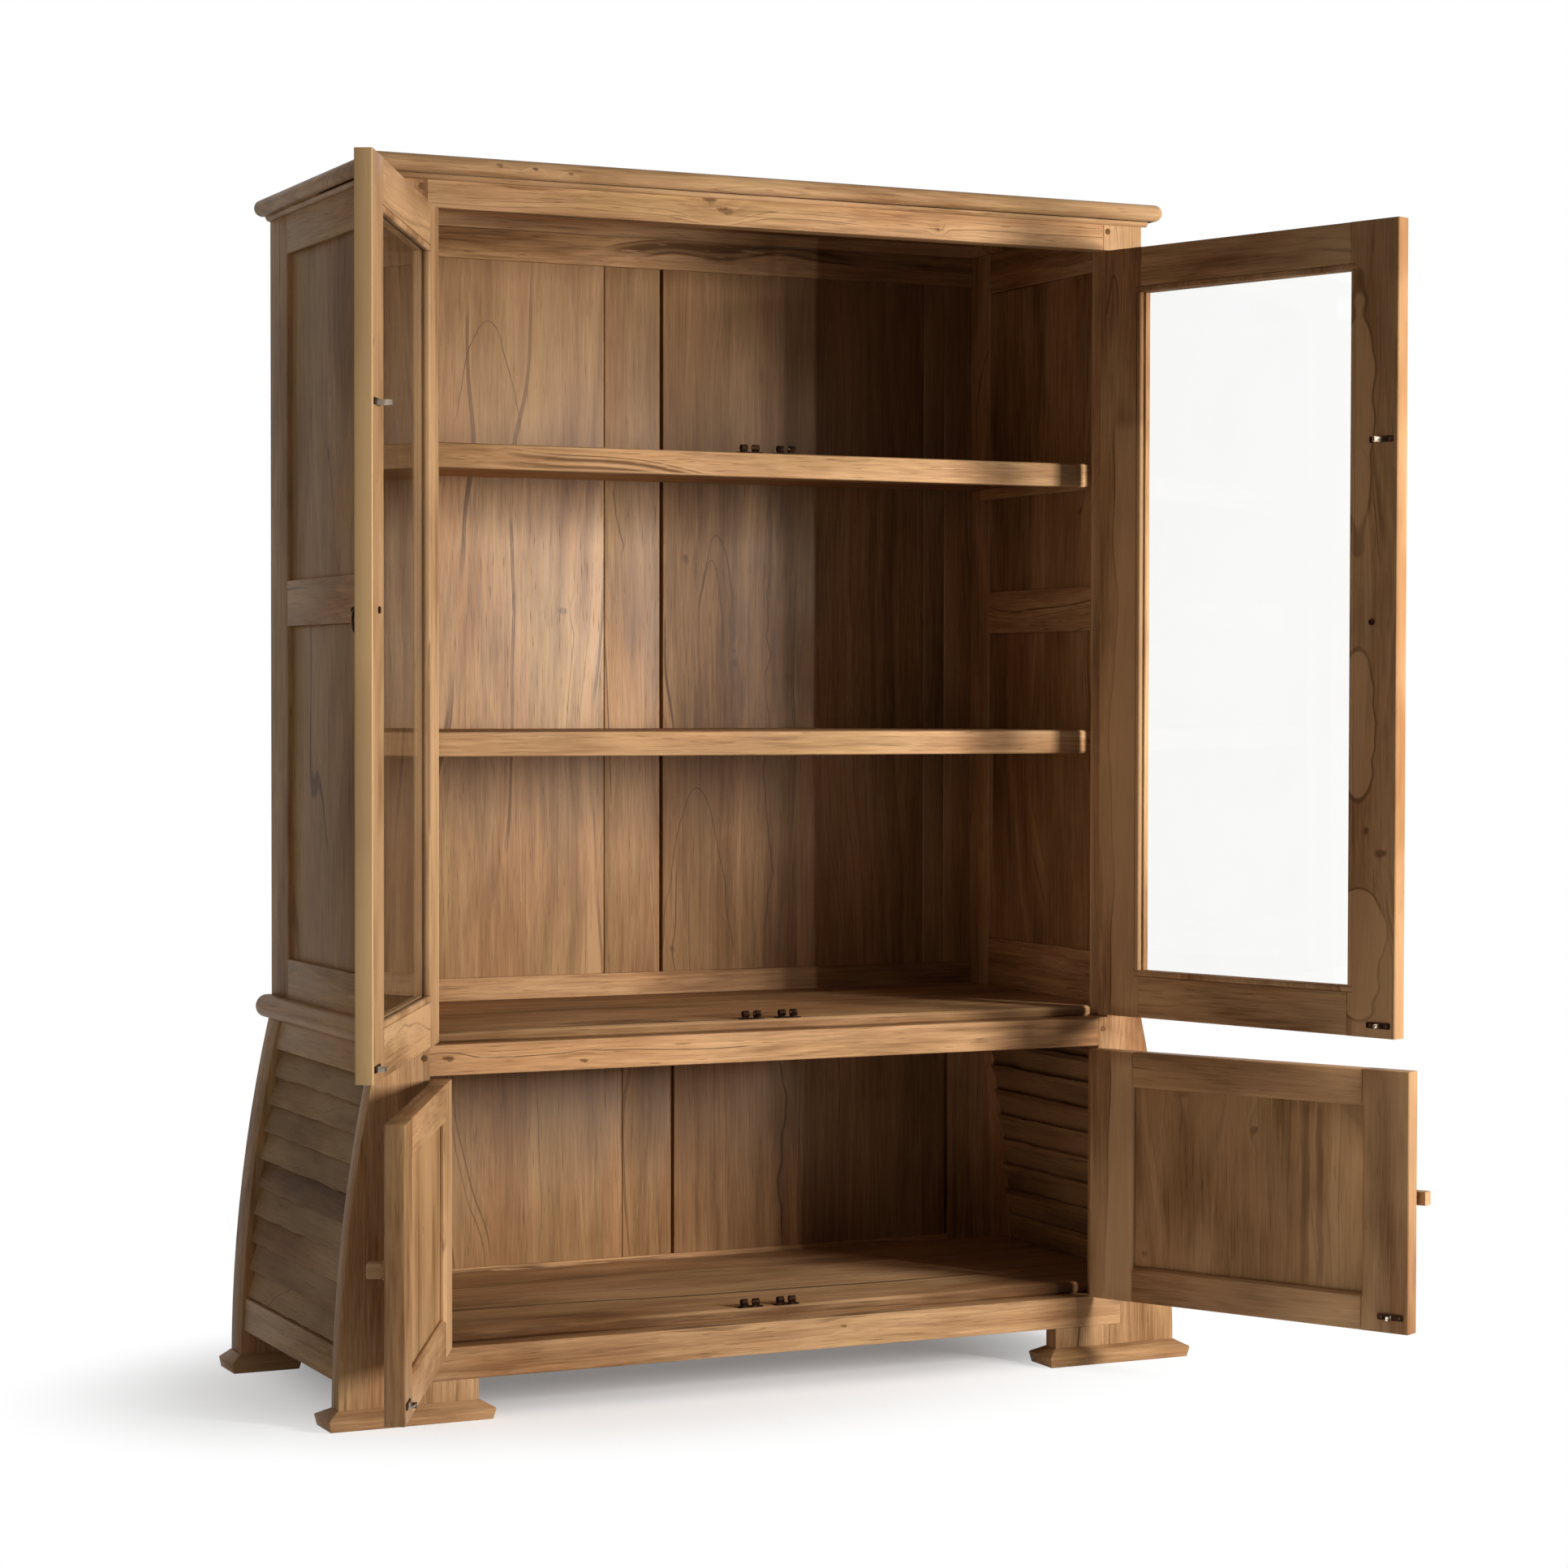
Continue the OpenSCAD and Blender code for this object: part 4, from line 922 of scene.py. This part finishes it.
# %% [markdown]
# ## Slats with a wavy lip
# The slats are riven offcuts, not planed to a line: their lips wander by a millimetre or two, and
# their inner faces are rough. A Displace modifier would also push the straight ends out of the
# posts. Here the slats are cut across into short lengths, and each new point is moved by smooth
# noise, least at the ends.

# %% Slats
from mathutils import noise

SLAT_CUTS = 26
LIP_SWAY, FACE_DENT, STILL_END = 2.4, 1.6, 0.05


def cut_across(low, high):
    """Cuts the selected mesh by planes square to Y, evenly spaced between two places."""
    def cutting():
        for i in range(1, SLAT_CUTS):
            bpy.ops.mesh.select_all(action="SELECT")
            cut = low + (high - low) * i / SLAT_CUTS
            bpy.ops.mesh.bisect(plane_co=(0, cut, 0), plane_no=(0, 1, 0))
    return cutting


def wander(mesh, low, high, side):
    """Moves the points of the slats by noise: the lips up and down, the inner faces in and out."""
    for vertex in mesh.vertices:
        x, y, z = vertex.co
        slat = round((z - low[2]) / slat_pitch - 0.1)
        end = min(y - low[1], high[1] - y) / STILL_END
        sway = max(0.0, min(1.0, end))
        wave = noise.noise((y * 14, slat * 7.3, side * 5.1))
        wave += 0.5 * noise.noise((y * 41, slat * 3.1, 2))
        rough = noise.noise((y * 30, z * 40, side * 3.3 + slat))
        vertex.co.z += wave * LIP_SWAY * MM * sway
        vertex.co.x -= side * (abs(rough) * FACE_DENT * MM * sway)


for side, name in ((-1, "base_slats_left"), (1, "base_slats_right")):
    low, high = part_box(name)
    slats = bpy.data.objects.new(name + "_riven", frame["nodes"][name].data.copy())
    bpy.context.collection.objects.link(slats)
    edit(slats, whole_flats, cut_across(low[1], high[1]))
    wander(slats.data, low, high, side)
    round_edges(slats, 0.8 * MM, 2, 35, 50)
    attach(slats, body_of(name))
    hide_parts(name)
    print(name, "faces:", len(slats.data.polygons))

# %% [markdown]
# ## Blocks and rods
# The small fittings all start from a block or a round bar, as they would at a bench. These helpers
# take corners and ends in millimetres, as on a drawing, and put the place and size into the mesh
# at once, because a finished piece has its object at the origin.

# %% Blocks and rods
def primitive(add, name, **settings):
    """Adds a primitive with nothing else selected and gives it a name."""
    bpy.ops.object.select_all(action="DESELECT")
    add(**settings)
    piece = bpy.context.object
    piece.name = name
    return piece


def box(name, low, high):
    """A block between two corners, in millimetres."""
    centre = [(a + b) / 2 * MM for a, b in zip(low, high)]
    size = [(b - a) * MM for a, b in zip(low, high)]
    piece = primitive(bpy.ops.mesh.primitive_cube_add, name, size=1, location=centre)
    piece.scale = size
    settle(piece)
    return piece


def settle(piece):
    """Puts the object's place and turn into its mesh."""
    pick(piece)
    bpy.ops.object.transform_apply(location=True, rotation=True, scale=True)


def rod(name, radius, start, end, axis="Z", at=(0, 0), sides=32):
    """A cylinder along one axis, in millimetres. at gives its place on the other two."""
    middle = (start + end) / 2
    place = {"X": (middle, at[0], at[1]), "Y": (at[0], middle, at[1]), "Z": (at[0], at[1], middle)}
    turn = {"X": (0, math.pi / 2, 0), "Y": (-math.pi / 2, 0, 0), "Z": (0, 0, 0)}
    piece = primitive(bpy.ops.mesh.primitive_cylinder_add, name, vertices=sides, radius=radius * MM,
                      depth=(end - start) * MM, location=[v * MM for v in place[axis]],
                      rotation=turn[axis])
    settle(piece)
    return piece


block = box("trial", (0, 0, 0), (10, 20, 30))
print("a trial block measures", [round(v / MM) for v in block.dimensions], "mm")
bpy.data.objects.remove(block)

# %% [markdown]
# ## Screws
# A countersunk screw is a disc with a slot. It could be a bump in the metal's material, but a real
# slot catches the light from every side. One is modelled at the origin with its head up: a
# cylinder, rounded at the rim, from which a Boolean modifier cuts the slot. Every other screw is a
# copy.

# %% One screw
def combine(piece, other, operation):
    """Joins another solid to a piece or cuts it away, and deletes the other one."""
    modifier = piece.modifiers.new("combine", "BOOLEAN")
    modifier.operation = operation
    modifier.object = other
    modifier.solver = "EXACT"
    modifier.material_mode = "TRANSFER"
    pick(piece)
    bpy.ops.object.modifier_apply(modifier="combine")
    mesh = other.data
    bpy.data.objects.remove(other)
    bpy.data.meshes.remove(mesh)


def coat(piece, material):
    """Gives the whole piece one finish."""
    piece.data.materials.clear()
    piece.data.materials.append(material)


HEAD_SUNK, HEAD_RISE = 0.8, 0.1
SLOT_HALF, SLOT_FLOOR = 0.3, -0.35


def screw(name, radius):
    """A slotted screw head at the origin, its top a little above the metal."""
    head = rod(name, radius, -HEAD_SUNK, HEAD_RISE)
    slot = box("slot_cutter", (-radius, -SLOT_HALF, SLOT_FLOOR), (radius, SLOT_HALF, 1))
    combine(head, slot, "DIFFERENCE")
    round_edges(head, 0.12 * MM, 2, 40, 45)
    coat(head, steel)
    return head


screw_model = screw("screw_model", 2.3)
print("a screw has", len(screw_model.data.polygons), "faces")

# %% [markdown]
# ## Copies and doors
# A mesh that is copied with another matrix can stand anywhere. For a door, the piece is made on
# the right door while it is shut, and the door's own matrix swings it open. On a left door that
# matrix also mirrors, which turns the faces inside out, so their normals are worked out again.

# %% Placing
def placed(model, name, matrix):
    """A copy of a model with its own mesh, moved by a matrix."""
    piece = bpy.data.objects.new(name, model.data.copy())
    bpy.context.collection.objects.link(piece)
    piece.data.transform(matrix)
    if matrix.determinant() < 0:
        edit(piece, lambda: bpy.ops.mesh.select_all(action="SELECT"),
             lambda: bpy.ops.mesh.normals_make_consistent(inside=False))
    return piece


def moved(model, name, matrix):
    """As placed, but the model is deleted."""
    piece = placed(model, name, matrix)
    bpy.data.objects.remove(model)
    return piece


def fitted(piece, body, slot, *nodes):
    """Says what a finished piece rides on and hides the frame nodes it stands for. slot is not
    used.
    """
    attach(piece, body)
    if nodes:
        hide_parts(*nodes)
    return piece


def joined(name, pieces):
    """Several meshes as one object."""
    pick(pieces[0])
    for piece in pieces:
        piece.select_set(True)
    bpy.ops.object.join()
    pieces[0].name = name
    return pieces[0]


def facing(place, direction, turn=0.0):
    """The matrix that puts a model's top towards a direction at a place in millimetres."""
    tilt = Vector(direction).to_track_quat("Z", "Y").to_matrix().to_4x4()
    return Matrix.Translation([v * MM for v in place]) @ tilt @ Matrix.Rotation(turn, 4, "Z")


trial = placed(screw_model, "trial", Matrix())
print("a copy keeps", len(trial.data.polygons), "faces")
bpy.data.objects.remove(trial)

# %% [markdown]
# ## Double ball catches
# Each door closes on a catch with two spring-loaded balls. Its case is a plate with two short
# barrels that face each other, and a screw in each barrel's outer end sets the spring. The barrels
# are cylinders with their ends inset and pushed in, then joined to the plate by Boolean modifiers.

# %% A barrel of the catch
PLATE_W, PLATE_D, PLATE_T = 43, 12, 1.5
AXIS_Z, BARREL_R, BORE_R = 8, 5.5, 4.0
BARREL_IN, BARREL_OUT, BORE_END = 5.2, 16, 12.5
RIM, RIM_DEPTH = 1.6, 0.7


def sink_end(piece, direction, rim, depth):
    """Insets the flat end that looks along a direction and pushes it into the piece."""
    mesh = piece.data
    pick(piece)
    bpy.ops.object.mode_set(mode="EDIT")
    bpy.ops.mesh.select_mode(type="FACE")
    bpy.ops.mesh.select_all(action="DESELECT")
    bpy.ops.object.mode_set(mode="OBJECT")
    for face in mesh.polygons:
        face.select = face.normal.dot(Vector(direction)) > 0.99 and len(face.vertices) > 8
    bpy.ops.object.mode_set(mode="EDIT")
    bpy.ops.mesh.inset(thickness=rim * MM)
    push = [-d * depth * MM for d in direction]
    bpy.ops.mesh.extrude_region_move(TRANSFORM_OT_translate={"value": push})
    bpy.ops.object.mode_set(mode="OBJECT")


def barrel(side):
    """A barrel along X, bored from the inside, with a shallow seat for the screw's head outside."""
    start, end = sorted((side * BARREL_IN, side * BARREL_OUT))
    made = rod("barrel", BARREL_R, start, end, "X", (0, AXIS_Z), 40)
    sink_end(made, (-side, 0, 0), BARREL_R - BORE_R, BORE_END - BARREL_IN)
    sink_end(made, (side, 0, 0), RIM, RIM_DEPTH)
    return made


trial = barrel(1)
print("a barrel has", len(trial.data.polygons), "faces")
bpy.data.objects.remove(trial)

# %% [markdown]
# ## The catch case
# Plate and barrels are one casting. Each barrel stands on a web that runs down into the plate, and
# its outer end has the slot of the setting screw. All parts overlap a little, because a Boolean
# modifier can't join faces that only touch.

# %% The catch case
WEB_HALF, WEB_SHORTER, WEB_CLEAR, OVERLAP = 4, 0.4, 0.6, 0.5
SLIT_DEEP, SLIT_HALF, SLIT_REACH = 1.4, 0.5, 3.4

case_model = box("case_model", (-PLATE_W / 2, -PLATE_D / 2, 0),
                 (PLATE_W / 2, PLATE_D / 2, PLATE_T))
for side in (-1, 1):
    start, end = sorted((side * (BARREL_IN + WEB_SHORTER), side * (BARREL_OUT - WEB_SHORTER)))
    web = box("web", (start, -WEB_HALF, PLATE_T - OVERLAP),
              (end, WEB_HALF, AXIS_Z - BORE_R - WEB_CLEAR))
    combine(case_model, web, "UNION")
    combine(case_model, barrel(side), "UNION")
    start, end = sorted((side * (BARREL_OUT - SLIT_DEEP), side * BARREL_OUT))
    slit = box("slit_cutter", (start, -SLIT_HALF, AXIS_Z - SLIT_REACH),
               (end, SLIT_HALF, AXIS_Z + SLIT_REACH))
    combine(case_model, slit, "DIFFERENCE")
round_edges(case_model, 0.35 * MM, 2, 35, 40)
coat(case_model, iron)
print("a catch case has", len(case_model.data.polygons), "faces")

# %% [markdown]
# ## Six catches in their places
# Two catches stand side by side on the upper shelf, on the upper floor and on the base floor, one
# for each door. The balls are the frame's own.

# %% Six catches
CATCH_X = 33
WING_X = (PLATE_W / 2 + BARREL_OUT) / 2
catches = {"shelf": (41, 1546), "floor": (31, 613), "base": (35, 135)}
cases = []
for name, (front, top) in catches.items():
    for side, hand in ((-1, "left"), (1, "right")):
        seat = Vector((side * CATCH_X, front + PLATE_D / 2, top)) * MM
        case = placed(case_model, f"catch_{name}_{hand}", Matrix.Translation(seat))
        cases.append(fitted(case, "case", "dark_bronze", "catch_cases"))
        seats = [seat + Vector((x, 0, PLATE_T)) * MM for x in (-WING_X, WING_X)]
        heads = [placed(screw_model, "head", Matrix.Translation(spot)) for spot in seats]
        fitted(joined(f"catch_{name}_{hand}_screws", heads), "case", "dark_bronze")
bpy.data.objects.remove(case_model)
print("catches:", [case.name for case in cases])

# %% [markdown]
# ## Strikes
# A strike is a small plate on the back of a door with a tongue that slips between the two balls.
# The balls rest in a dimple on each side of the tongue, cut here with two spheres. The plate's
# corners are bevelled before the tongue is joined, so that only they get the wide round.

# %% Strikes
STRIKE_W, STRIKE_T, STRIKE_LOW, STRIKE_TOP = 46, 1.5, -4, 6
TONGUE_HALF, TONGUE_H, TONGUE_IN = 2, 8, 8
BALL_R = 3.8
DIMPLE = 0.6
SCREW_X, SCREW_UP, CORNER_R = 16, 1, 2.4


def corners_along_y(piece):
    """A step for edit(): selects the edges that run along Y."""
    def choosing():
        bpy.ops.mesh.select_mode(type="EDGE")
        bpy.ops.mesh.select_all(action="DESELECT")
        mesh = bmesh.from_edit_mesh(piece.data)
        for edge in mesh.edges:
            way = (edge.verts[1].co - edge.verts[0].co).normalized()
            edge.select = abs(way.y) > 0.99
        bmesh.update_edit_mesh(piece.data)
    return choosing


def strike(key, name, back):
    """A strike on a door that is back millimetres thick, made for the catch of that name."""
    front, top = catches[name]
    axis = top + AXIS_Z
    plate = box(f"{key}_strike_{name}", (CATCH_X - STRIKE_W / 2, back, axis + STRIKE_LOW),
                (CATCH_X + STRIKE_W / 2, back + STRIKE_T, axis + STRIKE_TOP))
    edit(plate, corners_along_y(plate),
         lambda: bpy.ops.mesh.bevel(offset=CORNER_R * MM, segments=6))
    tongue = box("tongue", (CATCH_X - TONGUE_HALF, back + STRIKE_T / 2, axis - TONGUE_H / 2),
                 (CATCH_X + TONGUE_HALF, front + TONGUE_IN, axis + TONGUE_H / 2))
    for side in (-1, 1):
        far = CATCH_X + side * (TONGUE_HALF + BALL_R - DIMPLE)
        centre = (far * MM, (front + PLATE_D / 2) * MM, axis * MM)
        ball = primitive(bpy.ops.mesh.primitive_uv_sphere_add, "ball", radius=BALL_R * MM,
                         segments=32, ring_count=16, location=centre)
        settle(ball)
        combine(tongue, ball, "DIFFERENCE")
    coat(plate, iron)
    coat(tongue, polished)
    combine(plate, tongue, "UNION")
    round_edges(plate, 0.3 * MM, 2, 35, 40)
    seats = [(CATCH_X + side * SCREW_X, back + STRIKE_T, axis + SCREW_UP) for side in (-1, 1)]
    heads = [placed(screw_model, "head", facing(seat, (0, 1, 0), 0.6)) for seat in seats]
    return plate, joined(plate.name + "_screws", heads)


print("a tongue is", TONGUE_H, "mm high")

# %% [markdown]
# ## Hanging the strikes
# Every strike is made on the right door while it is shut, where it meets its catch, and then swung
# open with its door. An upper door has two and a lower door one.

# %% Strikes on the doors
strikes = {"ul": ("shelf", "floor"), "ur": ("shelf", "floor"), "ll": ("base",), "lr": ("base",)}
DOOR_T = {"u": 26, "l": 30}
for key, places in strikes.items():
    door = doors[key]
    node = key + ("_strikes" if key[0] == "u" else "_strike")
    for name in places:
        for part in strike(key, name, DOOR_T[key[0]]):
            hung = moved(part, part.name + "_hung", door.open)
            fitted(hung, door.body, "dark_bronze", node)
print("strikes hang on", list(strikes))

# %% [markdown]
# ## Wooden knobs
# A lower door has a small square knob on a low round rosette. The rosette is a cylinder whose
# front is drawn in, and the knob a block whose face is inset and raised a little. The right door's
# knob laps over the left door, so it is longer.

# %% Knobs
KNOB_X, KNOB_Z, KNOB_S = 25.5, 335.5, 22
ROSETTE_R, ROSETTE_TOP_R, ROSETTE_H = 21, 14, 5
KNOB_LAP_X = -10.5
FACE_LIFT, FACE_SHARE, BLOCK_SUNK = 2, 0.78, 0.5


def front_face(piece, *steps):
    """Selects the face that looks to -Y, then runs edit-mode steps on it."""
    pick(piece)
    for face in piece.data.polygons:
        face.select = face.normal.y < -0.99
    bpy.ops.object.mode_set(mode="EDIT")
    bpy.ops.mesh.select_mode(type="FACE")
    for step in steps:
        step()
    bpy.ops.object.mode_set(mode="OBJECT")


def knob(left_x):
    """A knob on a shut right door. left_x is where its block ends on the left."""
    rosette = rod("rosette", ROSETTE_R, -ROSETTE_H, 0, "Y", (KNOB_X, KNOB_Z), 64)
    front_face(rosette, lambda: bpy.ops.transform.resize(value=[ROSETTE_TOP_R / ROSETTE_R] * 3))
    block = box("block", (left_x, -ROSETTE_H - KNOB_S + FACE_LIFT, KNOB_Z - KNOB_S / 2),
                (KNOB_X + KNOB_S / 2, -ROSETTE_H + BLOCK_SUNK, KNOB_Z + KNOB_S / 2))
    raise_by = {"value": (0, -FACE_LIFT * MM, 0)}
    front_face(block, lambda: bpy.ops.mesh.extrude_region_move(TRANSFORM_OT_translate=raise_by),
               lambda: bpy.ops.transform.resize(value=(FACE_SHARE, 1, FACE_SHARE)))
    combine(rosette, block, "UNION")
    round_edges(rosette, 1.3 * MM, 3, 12, 35)
    return rosette


for key, left_x in (("ll", KNOB_X - KNOB_S / 2), ("lr", KNOB_LAP_X)):
    door = doors[key]
    turned = moved(knob(left_x), key + "_knob_turned", door.open)
    coat(turned, wood(key + "_knob_wood", "Y", door, heart=(door.side * 0.06, 0.30)))
    fitted(turned, door.body, "door_wood", key + "_knob")

# %% [markdown]
# ## Ring pulls and hinges
# The plates of the ring pulls, the hinge leaves and the pins are small and plain, so they keep the
# frame's shape and only get softer edges. The rings themselves are round already, and stay as they
# are.

# %% Ring plates and hinges
for key in ("ul", "ur"):
    eased(key + "_ring_plate", 0.4)
for key in doors:
    eased(key + "_hinges", 0.25)
eased("hinge_jamb_leaves", 0.25)
eased("hinge_pins", 0.4)
print("softened:", [o.name for o in bpy.data.objects if "hinge" in o.name and "eased" in o.name])

# %% [markdown]
# ## The hinges' screws
# Each leaf has three countersunk screws, whose heads stand a tenth of a millimetre proud. One leaf
# rides with the door and the other stays on the post, so their screws are separate pieces. Their
# slots are turned by different amounts, as nobody lines them up.

# %% The hinges' screws
hinge_heights = {"u": (722, 1253, 1784), "l": (188, 473)}
LEAF_MIDDLE, SCREW_STEP = 14, 20
DOOR_LEAF, JAMB_LEAF = -0.9, -0.6
FIRST_TURN, TURN_PER_MM = 0.4, 0.03
hinge_screw = screw("hinge_screw_model", 2.6)


def leaf_screws(name, pin_x, face, way, heights):
    """The screws of one leaf at each height, made on the right side."""
    heads = []
    for height in heights:
        for step in (-SCREW_STEP, 0, SCREW_STEP):
            place = (pin_x + face, LEAF_MIDDLE, height + step)
            turn = FIRST_TURN + step * TURN_PER_MM
            heads.append(placed(hinge_screw, "head", facing(place, (way, 0, 0), turn)))
    return joined(name, heads)


for key, door in doors.items():
    pin_x = abs(door.pin.x) / MM
    heights = hinge_heights[key[0]]
    on_door = leaf_screws("door_screws", pin_x, DOOR_LEAF, 1, heights)
    fitted(moved(on_door, key + "_hinge_screws", door.open), door.body, "hinge_brass")
    on_jamb = leaf_screws("jamb_screws", pin_x, JAMB_LEAF, -1, heights)
    fitted(moved(on_jamb, key + "_jamb_screws", door.mirror), "case", "hinge_brass")
bpy.data.objects.remove(hinge_screw)
bpy.data.objects.remove(screw_model)

# %% [markdown]
